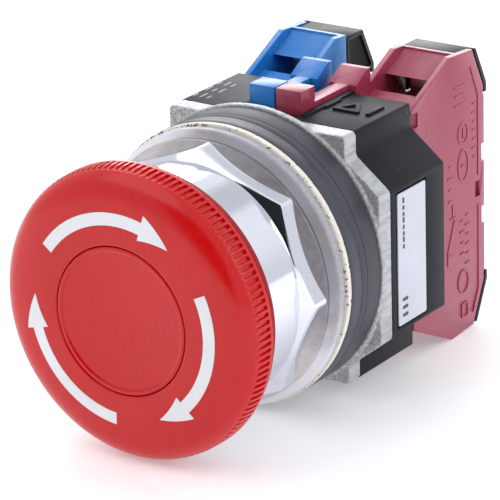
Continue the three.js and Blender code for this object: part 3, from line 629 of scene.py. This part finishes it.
def head_cap():
    """The disc set into the middle of the face, with a fine raised rim."""
    low, high = span("head_cap")
    front = low.y + PRINT_ROOM
    depth = high.y - front
    set_in, rim_inner, rim_outer = 0.22, 9.75, CAP_RADIUS - 0.1
    profile = [
        (0, set_in), (rim_inner - 0.2, set_in), (rim_inner - 0.08, set_in - 0.03),
        (rim_inner + 0.06, 0.06), (rim_inner + 0.18, 0.02), (rim_outer - 0.2, 0.02),
        (rim_outer - 0.06, 0.08), (rim_outer, 0.22), (rim_outer, depth), (0, depth),
    ]
    cap = revolve("button_cap_disc", [(r, front + d) for r, d in profile], ROUND, sharp=40)
    place(cap, "head", "red_plastic", ["head_cap"])


def arrow(number):
    """One of three white arrows printed on the face, which point the way the button turns to reset.
    Its angles are degrees from +X towards +Z, and its widths are pairs of radii."""
    tail, neck, tip = 144.7, 74.4, 54.6
    shaft = (13.4, 15.15)
    barb = (12.55, 16.2)
    point = 14.1
    shaft_steps, point_steps = 30, 12
    film = 0.035
    front = span("button_head")[0].y + PRINT_ROOM
    stations = []
    for k in range(shaft_steps):
        stations.append((tail + (neck - tail) * k / shaft_steps, None, *shaft, None))
    for k in range(point_steps + 1):
        t = k / point_steps
        angle = neck + (tip - neck) * t
        radii = [r + (point - r) * t for r in (barb[0], shaft[0], shaft[1], barb[1])]
        stations.append((angle, *radii))
    points, faces, previous = [], [], None
    for angle, *radii in stations:
        turn = math.radians(angle - 120 * number)
        row = []
        for r in radii:
            row.append(None if r is None else len(points))
            if r is not None:
                y = front + face_depth(r) - film
                points.append((r * math.cos(turn), y, r * math.sin(turn)))
        if previous:
            for a, b, c, d in zip(previous, previous[1:], row[1:], row):
                if None not in (a, b, c, d):
                    faces.append((a, b, c, d))
        previous = row
    mark = make(f"turn_arrow_{number + 1}", points, faces)
    step = mark.modifiers.new("film", "SOLIDIFY")
    step.thickness = 2 * film * MM
    step.offset = 0
    apply_modifiers(mark)
    clean(mark, 50)
    place(mark, "head", "label_film", material=WHITE_PRINT)


# ---- front stack ----

SEAT = 0.13  # each washer and ring reaches this much past its CAD face, to meet its neighbour
STACK_BORE = 15.4  # the washers and rings go round the threaded barrel


def seated(node_name):
    """Lowest and highest y, and the outer radius, of a ring that presses on its neighbours."""
    low, high = span(node_name)
    return low.y - SEAT, high.y + SEAT, high.x


def octagon_radius(angles, corner, turn, rounding):
    """Distance from the axis to an octagon's side, with rounded corners."""
    eighth = TAU / 8
    half = eighth / 2
    flat = corner * math.cos(half)
    off = np.abs((angles - math.radians(turn) + half) % eighth - half)
    centre = (flat - rounding) / math.cos(half)
    tangent = math.atan2(rounding * math.sin(half), centre + rounding * math.cos(half))
    arc = centre * np.cos(off) + np.sqrt(np.maximum(rounding**2 - (centre * np.sin(off)) ** 2, 0))
    return np.where(off < tangent, arc, flat / np.cos(half - off))


def bezel_ring():
    """Plated locking ring: round collar, sloping shoulder, eight flats, and the cone where they run out."""
    low, high = span("bezel_ring")
    front, rear = low.y, high.y
    collar, corner, turn = 17.1, 19.0, -1.5
    shoulder, fall = -7.9, 0.62
    flange = rear - 0.35
    edge = 0.09
    screw_bore, sleeve_bore, step = 15.3, 13.2, 5.35
    cone_from, cone_outside = -5.9, 17.5
    fixed = [
        (screw_bore, rear), (screw_bore, front + step), (sleeve_bore + 0.1, front + step),
        (sleeve_bore, front + step - 0.15), (sleeve_bore, front + 0.3), (sleeve_bore + 0.3, front),
        *fillet([(16.0, front), (collar, front), (collar, front + 2)], [0, 0.55, 0], 8)[1:-1],
        *[(collar, front + (shoulder - front) * k / 8) for k in range(2, 8)],
        (collar, shoulder - 0.06),
        (collar + 0.05, shoulder + 0.03),
    ]
    varying = 10
    profile = fixed + [(corner, rear)] * varying

    def grip(angles, radii, ys):
        side = octagon_radius(angles, corner, turn, 0.9)[:, 0]
        lip = shoulder + fall * (side - collar)
        run_out = flange - (corner - side)
        bend = np.minimum(0.14, 0.4 * (flange - run_out) + 0.01)
        rows = [
            (side - edge, lip - fall * edge),
            (side - 0.25 * edge, lip + 0.1 * edge),
            (side, lip + edge),
            (side, (lip + run_out) / 2),
            (side, run_out - bend),
            (side + 0.18 * bend, run_out + 0.1 * bend),
            (side + 0.8 * bend, run_out + 0.8 * bend),
            (np.full_like(side, corner - 0.06), np.full_like(side, flange - 0.06)),
            (np.full_like(side, corner), np.full_like(side, flange + 0.08)),
            (np.full_like(side, corner), np.full_like(side, rear)),
        ]
        start = len(fixed)
        for k, (r, y) in enumerate(rows):
            radii[:, start + k] = np.minimum(r, corner)
            ys[:, start + k] = y
        return radii, ys

    ring = revolve("locking_ring", profile, 2 * ROUND, grip, sharp=20)
    place(ring, "base", "chrome_plating", ["bezel_ring"])
    ring.data.materials.append(SATIN_METAL)
    for face in ring.data.polygons:
        middle, tilt = face.center / MM, face.normal
        on_cone = middle.y > cone_from and -0.9 < tilt.y < -0.5
        on_flange = middle.y > flange - 0.1
        if math.hypot(middle.x, middle.z) > cone_outside and (on_cone or on_flange):
            face.material_index = 1


def panel_gasket():
    """Silicone gasket: a cone from the locking ring out to a straight rim."""
    front, rear, rim = seated("panel_gasket")
    cone_end = rear - (1.1 + SEAT)
    corners = [
        (STACK_BORE, front), (19.05, front), (rim - 0.15, cone_end - 0.15), (rim, cone_end),
        (rim, rear), (STACK_BORE, rear),
    ]
    profile = fillet(corners, [0.05, 0.15, 0.2, 0.12, 0.2, 0.05], 4)
    gasket = revolve("sealing_gasket", profile, ROUND)
    place(gasket, "base", "clear_silicone", ["panel_gasket"])


def thrust_washer():
    """Fibre washer whose rim is a little uneven, with nicks rubbed out of it."""
    front, rear, edge = seated("thrust_washer")
    corners = [(STACK_BORE, front), (edge, front), (edge, rear), (STACK_BORE, rear)]
    profile = fillet(corners, [0.02, 0.14, 0.14, 0.02], 3)

    def round_noise(angles, size, height):
        """Noise along a circle: a bigger size gives shorter waves."""
        return np.array([noise.noise((size * math.cos(a), size * math.sin(a), height)) for a in angles])

    def worn(angles, radii, ys):
        rim = radii > edge - 0.5
        wave = round_noise(angles[:, 0], 9, 3.1)
        nick = round_noise(angles[:, 0], 34, 7.7)
        loss = 0.03 + 0.04 * np.clip(wave, 0, 1) + 0.22 * np.clip(nick - 0.42, 0, 1)
        return radii - np.where(rim, loss[:, None], 0), ys

    washer = revolve("clamp_washer_cream", profile, 3 * ROUND, worn)
    place(washer, "base", "cream_plastic", ["thrust_washer"])


def spacer_ring(node_name, name, grooves):
    """A rubber spacer with shallow turned grooves at the given shares of its width."""
    front, rear, rim = seated(node_name)
    sunk = rim - 0.05
    outer = [(rim, front), (rim, rear)]
    for share in reversed(grooves):
        y = front + (rear - front) * share
        outer[1:1] = [(rim, y - 0.09), (sunk, y - 0.03), (sunk, y + 0.03), (rim, y + 0.09)]
    corners = [(STACK_BORE, front), *outer, (STACK_BORE, rear)]
    radii = [0.05, 0.16, *[0.0] * (4 * len(grooves)), 0.16, 0.05]
    ring = revolve(name, fillet(corners, radii, 5), ROUND, sharp=50)
    place(ring, "base", "black_rubber", [node_name])


# ---- flange and housing ----

# Half widths and heights of the outline that the flange and the housing share.
NARROW, WIDE = 14.6, 20.0
TOP, UPPER_STEP, WIDE_TOP, WIDE_BOTTOM, LOWER_STEP, BOTTOM = 18.5, 15.1, 10.75, -10.85, -15.1, -17.95
HOUSING_SCREW = (17.3, 0.6)  # x of the right one, and z of both


def mirrored(half):
    """A whole outline from its right half."""
    return [*half, *[(-x, z) for x, z in reversed(half)]]


def eared(name, lower_step, radii, steps, front, rear):
    """A plate or block with the shared outline, its corners rounded by the right half's radii."""
    half = [
        (NARROW, TOP), (NARROW, UPPER_STEP), (WIDE, WIDE_TOP), (WIDE, WIDE_BOTTOM),
        (NARROW, lower_step), (NARROW, BOTTOM),
    ]
    return prism(name, fillet(mirrored(half), radii + radii[::-1], steps), "y", front, rear)


def roughen(obj, amount, size, seed):
    """Moves every point along its normal by a smooth noise: amount in mm, size of a lump in mm."""
    mesh = obj.data
    normals = [v.normal.copy() for v in mesh.vertices]
    for vertex, normal in zip(mesh.vertices, normals):
        where = vertex.co / (size * MM) + Vector((seed, 0, 0))
        vertex.co += normal * (amount * MM * noise.noise(where))
    mesh.update()


def remesh(obj, voxel, smoothing):
    """Rebuilds the surface from voxels, which rounds every edge a little."""
    step = obj.modifiers.new("voxels", "REMESH")
    step.mode = "VOXEL"
    step.voxel_size = voxel * MM
    relax = obj.modifiers.new("relax", "SMOOTH")
    relax.factor = 0.5
    relax.iterations = smoothing
    apply_modifiers(obj)


def casting_flange():
    """The die-cast flange: a round seat and four ears, with a casting's rounded edges and rough skin."""
    high = span("operator_body")[1]
    ear_front, seat_front, rear = 7.75, 7.4, high.y
    seat_rear = ear_front + 0.6
    skin = 0.04  # room for the rough skin, inside the CAD box
    bore_radius = 14.0
    flange = eared("flange_casting", LOWER_STEP, [0.7, 0.9, 0.7, 0.7, 0.9, 0.7], 6, ear_front, rear)
    seat = prism("seat", circle((0, 0), high.x - skin, 160), "y", seat_front, seat_rear)
    bore = prism("bore", circle((0, 0), bore_radius, 96), "y", seat_front - 1, rear + 1)
    combine(flange, [seat])
    combine(flange, [bore], "DIFFERENCE")
    remesh(flange, 0.16, 2)
    roughen(flange, 0.012, 1.6, 3)
    roughen(flange, 0.03, 0.4, 11)
    clean(flange, 60)
    place(flange, "base", "zinc_casting", ["operator_body"])


def threaded_barrel():
    """The barrel through the panel, with its screw thread, its web and the hub behind it."""
    low, high = span("operator_body")
    front, rear = low.y, high.y - 0.4
    pitch, crest, root = 1.5, 15.0, 14.58
    thread_end = 6.3
    hub_bore, web_bore, sleeve_bore, seal_bore = 8.2, 6.2, 12.0, 12.7
    web_front, web_rear, seal_seat = 1.75, 3.35, front + 2.2
    outer = [(root, front), (root, front + 0.5)]
    for k in range(int((thread_end - front) / pitch)):
        y = front + 0.7 + k * pitch
        outer += [(root, y), (crest, y + 0.55), (crest, y + 0.8), (root, y + 1.35)]
    outer += [(crest - 0.3, rear)]
    inner = [
        (hub_bore, rear), (hub_bore, web_rear), (web_bore, web_rear), (web_bore, web_front),
        (sleeve_bore, web_front), (sleeve_bore, seal_seat), (seal_bore, seal_seat), (seal_bore, front),
    ]
    barrel = revolve("threaded_barrel", outer + inner, 144, sharp=30)
    place(barrel, "base", "zinc_casting")


def mechanism_housing():
    """The black housing: a hollow shell with screw bosses, and rails and slots for the contact blocks."""
    low, high = span("mechanism_housing")
    front, rear = low.y - 2 * SEAT, high.y
    wall = 1.6
    boss, hole, head_bore = 2.65, 1.65, 2.2
    channel, rail_outside, channel_front = 4.6, 5.4, 12.25
    shell = eared("housing_shell", WIDE_BOTTOM, [0.5, 0.6, 0.7, 0.5, 0.3, 0.5], 5, front, rear)
    hollow = [
        (NARROW - wall, 15.4), (NARROW - wall, UPPER_STEP - 0.7), (WIDE - wall, WIDE_TOP - 0.7),
        (WIDE - wall, WIDE_BOTTOM + wall), (NARROW - wall, WIDE_BOTTOM + wall),
        (NARROW - wall, BOTTOM + wall),
    ]
    combine(shell, [prism("hollow", mirrored(hollow), "y", front - 1, rear - wall)], "DIFFERENCE")
    extras = []
    for side in (-1, 1):
        screw = (side * HOUSING_SCREW[0], HOUSING_SCREW[1])
        extras.append(prism("boss", circle(screw, boss, 40), "y", front, rear))
        rail = sorted((side * channel, side * rail_outside))
        extras.append(block("rail", rail, (channel_front, rear), (TOP - 1, high.z)))
    combine(shell, extras)
    cuts = [
        block("channel", (-channel, channel), (channel_front, rear + 1), (17.0, TOP + 2)),
        block("window", (-13.4, 13.4), (rear - wall - 1, rear + 1), (-4.6, 5.8)),
        block("label_seat", (WIDE - 0.35, WIDE + 1), (12.0, 19.85), (-10.0, 10.0)),
    ]
    for side in (-1, 1):
        screw = (side * HOUSING_SCREW[0], HOUSING_SCREW[1])
        cuts.append(prism("hole", circle(screw, hole, 40), "y", front - 1, rear + 1))
        cuts.append(prism("head_bore", circle(screw, head_bore, 40), "y", rear - 2, rear + 1))
        slot = sorted((side * 7.075, side * 12.075))
        cuts.append(block("hook_slot", slot, (rear - wall - 1, rear + 1), (-15.9, -13.6)))
    combine(shell, cuts, "DIFFERENCE")
    bevelled(shell, 0.14)
    place(shell, "base", "black_plastic", ["mechanism_housing"])


def orientation_mark():
    """A plain raised triangle between two bars on top of the housing, to show which way up it goes."""
    z = (TOP - 0.2, TOP + 0.34)
    outer = [(8.8, 21.1), (6.4, 16.9), (11.2, 16.9)]
    inner = [(8.8, 19.7), (7.5, 17.55), (10.1, 17.55)]
    mark = band("orientation_mark", fillet(outer, 0.3, 3), fillet(inner, 0.15, 3), "z", *z)
    for x in (5.0, 12.0):
        bar = [(x, 16.9), (x + 0.75, 16.9), (x + 0.75, 21.1), (x, 21.1)]
        combine(mark, [prism("bar", fillet(bar, 0.25, 3), "z", *z)])
    bevelled(mark, 0.1)
    place(mark, "base", "black_plastic")


def etched_ticks():
    """Light engraved gauge marks on the left of the housing's top: three rows of plain bars."""
    pieces = []
    for row, y in enumerate((12.6, 15.6, 18.6)):
        for k in range(3):
            x = -14.0 + 1.15 * k
            long = 1.9 if (k + row) % 2 else 1.3
            bar = [(x, y), (x + 0.34, y), (x + 0.34, y + long), (x, y + long)]
            pieces.append(prism("bar", fillet(bar, 0.1, 2), "z", TOP - 0.1, TOP + 0.03))
    marks = pieces[0]
    marks.name = "etched_ticks"
    combine(marks, pieces[1:])
    clean(marks)
    place(marks, "base", "label_film", material=ETCHED_PRINT)


def rating_label():
    """The pale label on the housing's right side, with plain bars in place of print."""
    low, high = span("rating_label")
    outline = [(low.y, low.z), (high.y, low.z), (high.y, high.z), (low.y, high.z)]
    label = prism("plain_label", fillet(outline, 0.25, 4), "x", low.x - 0.05, high.x)
    bevelled(label, 0.03)
    place(label, "base", "label_film", ["rating_label"])
    film = 0.02
    strips = []
    for k in range(8):
        z = high.z - 1.6 - 0.95 * k
        length = 0.62 if k % 3 else 0.8
        strips.append((13.5, z, 0.5, length))
    for k in range(3):
        strips.append((13.3, low.z + 1.1 + 1.15 * k, 1.4, 0.5))
    pieces = []
    for y, z, wide, tall in strips:
        bar = [(y, z), (y + wide, z), (y + wide, z + tall), (y, z + tall)]
        pieces.append(prism("bar", fillet(bar, 0.08, 2), "x", high.x - film, high.x + film))
    bars = pieces[0]
    bars.name = "label_bars"
    combine(bars, pieces[1:])
    clean(bars)
    place(bars, "base", "label_film", material=LABEL_INK)


# ---- contact blocks ----


def refined(node_name, name, width):
    """A finer copy of a CAD node, with every edge rounded."""
    piece = frame["nodes"][node_name].copy()
    piece.data = frame["nodes"][node_name].data.copy()
    piece.name = name
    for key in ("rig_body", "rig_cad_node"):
        del piece[key]
    piece.parent = None
    piece.matrix_world = Matrix.Identity(4)
    bpy.context.scene.collection.objects.link(piece)
    return bevelled(piece, width)


def bar_outline(start, end, width):
    """Outline of a straight raised line between two points."""
    a, b = np.array(start, float), np.array(end, float)
    along = (b - a) / np.linalg.norm(b - a)
    across = np.array([-along[1], along[0]]) * width / 2
    return [tuple(a - across), tuple(b - across), tuple(b + across), tuple(a + across)]


def oval(centre, half_y, half_z):
    return [(centre[0] + half_y * y, centre[1] + half_z * z) for y, z in circle((0, 0), 1, 32)]


def side_relief(kind, side):
    """Plain raised rings, bars and lines on the outer side of a block: no lettering."""
    face = 14.55
    proud, stroke = 0.11, 0.3
    low, high = sorted((side * (face - 0.15), side * (face + proud)))
    pieces = []
    ovals = (((39.0, 9.9), 1.45, 1.75), ((39.0, 5.0), 1.5, 2.5), ((38.9, -12.9), 1.55, 1.9))
    for centre, half_y, half_z in ovals:
        outer = oval(centre, half_y, half_z)
        hole = oval(centre, half_y - stroke, half_z - stroke)
        pieces.append(band("ring", outer, hole, "x", low, high))
    lines = [
        # three plain bars above, and a bar across each of two rings
        ((36.7, 17.2), (39.6, 17.2)), ((36.7, 15.8), (39.6, 15.8)), ((36.7, 14.4), (39.6, 14.4)),
        ((39.0, 9.1), (39.0, 10.7)), ((38.4, 5.0), (39.6, 5.0)),
        # a plain switch diagram
        ((36.0, -0.2), (36.0, -2.2)), ((35.2, -2.2), (36.9, -2.2)), ((36.5, -2.6), (34.6, -7.2)),
        ((34.6, -7.2), (34.6, -9.2)), ((34.6, -7.6), (35.8, -7.9)),
        # edge of the raised rim at the back of the block
        ((41.2, 19.2), (43.2, 14.6)), ((43.2, 14.6), (43.2, 2.3)),
        ((43.2, -2.2), (43.2, -15.2)), ((43.2, -15.2), (41.6, -18.6)),
    ]
    # columns of short bars: y, z of the top one, how many, and their spacing
    lengths = (0.7, 1.0, 0.55, 0.85)
    columns = ((42.1, 13.6, 7, 1.0), (35.3, 5.8, 4, 1.3), (38.6, -3.4, 4, 1.25), (40.1, -2.8, 6, 1.1))
    for y, z, count, spacing in columns:
        for k in range(count):
            top = z - 1.35 * spacing * k
            half = lengths[k % 4] * 0.6
            lines.append(((y - half, top), (y + half, top)))
    pieces += [prism("line", bar_outline(a, b, stroke * 0.8), "x", low, high) for a, b in lines]
    square = [(38.3, -16.2), (40.2, -16.2), (40.2, -18.6), (38.3, -18.6)]
    inside = [(38.6, -16.5), (39.9, -16.5), (39.9, -18.3), (38.6, -18.3)]
    pieces.append(band("square", fillet(square, 0.4, 3), fillet(inside, 0.25, 3), "x", low, high))
    return gather(f"{kind}_side_relief", pieces)


def contact_blocks():
    """Both cases with their side relief, and their terminal covers with painted shade on their sunk walls.
    """
    sunk_wall, near = 5.0, 0.02
    for kind, slot in (("no", "blue_plastic"), ("nc", "burgundy_plastic")):
        side = 1 if kind == "nc" else -1
        case = refined(f"{kind}_contact_case", f"{kind}_block_case", 0.16)
        window = block("window", sorted((side * 13.9, side * 15.5)), (42.4, 43.8), (-1.0, 1.4))
        pocket = block("pocket", sorted((side * 14.1, side * 15.5)), (24.5, 26.7), (14.4, 16.6))
        combine(case, [window, pocket], "DIFFERENCE")
        clean(case, 40)
        place(case, "base", slot, [f"{kind}_contact_case"])
        place(side_relief(kind, side), "base", slot)
        for end in ("top", "bottom"):
            cover = refined(f"{kind}_terminal_cover_{end}", f"{kind}_cover_{end}", 0.12)
            place(cover, "base", "black_plastic", [f"{kind}_terminal_cover_{end}"], COVER_PLASTIC)
            # painted shade: the covers' sunk walls take a near-black copy of their plastic
            cover.data.materials.append(SUNK_WALL_PAINTED_SHADE)
            for face in cover.data.polygons:
                if abs(abs(face.center.x / MM) - sunk_wall) < near:
                    face.material_index = 1


# ---- springs and inner pieces ----


def spring(node_name, along, wire, turns):
    """A coil that fills its CAD node's box, wound round the axis along (0 for X, 1 for Y). wire is the
    wire's radius. The coils lie closer together at both ends."""
    sides, per_turn = 8, 24
    low, high = span(node_name)
    across = 1 - along
    middle = (low + high) / 2
    radius = (high[across] - low[across]) / 2 - wire
    start, end = low[along] + wire, high[along] - wire
    steps = turns * per_turn
    points, faces = [], []
    for k in range(steps + 1):
        t = k / steps
        turn = TAU * turns * t
        eased = t - math.sin(TAU * t) / (4 * TAU)
        for s in range(sides):
            around = TAU * s / sides
            reach = radius + wire * math.cos(around)
            point = [0.0, 0.0, middle.z + reach * math.sin(turn)]
            point[along] = start + (end - start) * eased + wire * math.sin(around)
            point[across] = middle[across] + reach * math.cos(turn)
            points.append(point)
    for k in range(steps):
        for s in range(sides):
            a, b = k * sides, (k + 1) * sides
            t = (s + 1) % sides
            faces.append((a + s, a + t, b + t, b + s))
    faces.append(tuple(range(sides)))
    faces.append(tuple(range(steps * sides, (steps + 1) * sides)))
    return make(f"{node_name}_coil", points, faces, 60)


def springs():
    """Every coil. The return springs and the latch springs stay still; the contact springs ride their
    plunger sets.
    """
    for node_name, joint, fixed, wire, turns in (
        ("return_spring", "push", 1.45, 0.55, 5),
        ("no_return_spring", "no_plunger_slide", 43.44, 0.3, 5),
        ("nc_return_spring", "nc_plunger_slide", 43.44, 0.3, 5),
    ):
        coil = place(spring(node_name, 1, wire, turns), "base", "steel", [node_name])
        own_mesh(coil)
    for kind in ("no", "nc"):
        node_name = f"{kind}_contact_spring"
        place(spring(node_name, 1, 0.2, 3), f"{kind}_plunger_set", "steel", [node_name])
    for hand in ("left", "right"):
        node_name = f"latch_spring_{hand}"
        coil = place(spring(node_name, 0, 0.22, 4), None, "steel", [node_name])
        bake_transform(coil)


def inner_pieces():
    """The pieces whose CAD shape is right: finer copies with rounded edges, each riding its own body."""
    on_bodies = frame["record"]["behaviour"]["bodies"]
    bodies = {name: body for body, names in on_bodies.items() for name in names}
    for part in frame["record"]["subparts"]:
        name = part["node"]
        if not frame["nodes"][name].hide_render:
            piece = refined(name, f"{name}_finished", 0.08)
            place(piece, bodies[name], part["material_slot"], [name])


# ---- stage ----

LIGHTS = [
    # name, place, aim and size in metres, power in watts
    ("key", (-0.25, -0.35, 0.6), (0, 0, 0), 0.7, 1.15),
    ("top", (-0.46, 0.31, 0.71), (0, 0, 0), 0.4, 1.3),
    ("fill", (0.6, 0.1, 0.35), (0, 0.01, 0), 0.4, 0.7),
    ("rim", (-0.43, 0.8, 0.3), (0, 0.02, 0), 0.55, 2.3),
]


def add_light(name, where, aim, size, power):
    data = bpy.data.lights.new(name, "AREA")
    data.shape = "DISK"
    data.size = size
    data.energy = power
    light = bpy.data.objects.new(name, data)
    light.location = where
    light.rotation_mode = "QUATERNION"
    light.rotation_quaternion = (Vector(aim) - Vector(where)).to_track_quat("-Z", "Y")
    bpy.context.scene.collection.objects.link(light)


def studio_world():
    """A white studio with soft dark gaps and one brighter wall, which give the plating its contrast."""
    world = bpy.data.worlds.new("studio")
    bpy.context.scene.world = world
    world.use_nodes = True
    tree = world.node_tree
    tree.nodes.clear()
    direction = node(tree, "TexCoord").outputs["Generated"]
    gaps = [
        # direction, cosines where it starts and is full, and how much darker: below 0 is brighter
        ((0.12, -0.97, -0.1), (0.87, 0.93), 0.97),
        ((0.16, -0.93, 0.33), (0.88, 0.94), 0.97),
        ((0.03, 0.77, 0.637), (0.972, 0.997), 0.3),
        ((0.05, 0.75, 0.5), (0.7, 0.9), -0.22),
    ]
    shade = None
    for where, reach, amount in gaps:
        unit = Vector(where).normalized()
        near = node(tree, "VectorMath", {0: direction, 1: unit}, operation="DOT_PRODUCT")
        dark = ranged(tree, near.outputs["Value"], reach, (0, amount), True)
        keep = computed(tree, "SUBTRACT", 1.0, dark)
        shade = keep if shade is None else computed(tree, "MULTIPLY", shade, keep)
    # the gaps show in reflections only: the camera itself sees an even white
    seen = node(tree, "LightPath").outputs["Is Camera Ray"]
    lit = computed(tree, "MULTIPLY", shade, 0.86)
    strength = node(tree, "Mix", {0: seen, 2: lit, 3: 1.0}, data_type="FLOAT").outputs[0]
    background = node(tree, "Background", {"Color": (0.965, 0.975, 1.0, 1), "Strength": strength})
    out = node(tree, "OutputWorld")
    tree.links.new(background.outputs[0], out.inputs["Surface"])


def floor():
    """A wide pale floor just under the object, with a faint glow that keeps it white."""
    gap, reach = 0.02, 900
    z = CAD_BOX[0][2] / MM - gap
    corners = [(-reach, -reach, z), (reach, -reach, z), (reach, reach, z), (-reach, reach, z)]
    plane = make("floor", corners, [(0, 1, 2, 3)])
    pale = surface(
        "pale_floor", (0.86, 0.86, 0.87), (0.9, 0.9, 0.91), (0.6, 0.8), 0.4, (0.05, 0.01),
        emission_color=(0.97, 0.98, 1.0, 1), emission_strength=0.3,
    )
    dress(plane, pale)


def camera():
    """Seen from the front right and a little above, through a long lens."""
    turn, lift, roll = math.radians(34.71), math.radians(20.52), math.radians(-1.715)
    aim = Vector((7.467, -5.25, 5.058)) * MM
    distance = 461.1 * MM
    back = Vector((math.sin(turn) * math.cos(lift), -math.cos(turn) * math.cos(lift), math.sin(lift)))
    level = Vector((math.cos(turn), math.sin(turn), 0))
    upright = back.cross(level)
    right = level * math.cos(roll) + upright * math.sin(roll)
    up = upright * math.cos(roll) - level * math.sin(roll)
    data = bpy.data.cameras.new("camera")
    data.sensor_width = 36
    data.lens = 245.73
    data.clip_start = 0.01
    data.clip_end = 10
    view = bpy.data.objects.new("camera", data)
    bpy.context.scene.collection.objects.link(view)
    rotation = Matrix((right, up, back)).transposed().to_4x4()
    view.matrix_world = Matrix.Translation(aim + back * distance) @ rotation
    bpy.context.scene.camera = view


bpy.context.scene.view_settings.view_transform = "Standard"
camera()
studio_world()
floor()
for light in LIGHTS:
    add_light(*light)

button_head()
head_cap()
for number in range(3):
    arrow(number)
bezel_ring()
panel_gasket()
thrust_washer()
spacer_ring("spacer_ring_front", "front_spacer", (0.62,))
spacer_ring("spacer_ring_rear", "rear_spacer", ())
casting_flange()
threaded_barrel()
mechanism_housing()
orientation_mark()
etched_ticks()
rating_label()
contact_blocks()
springs()
inner_pieces()
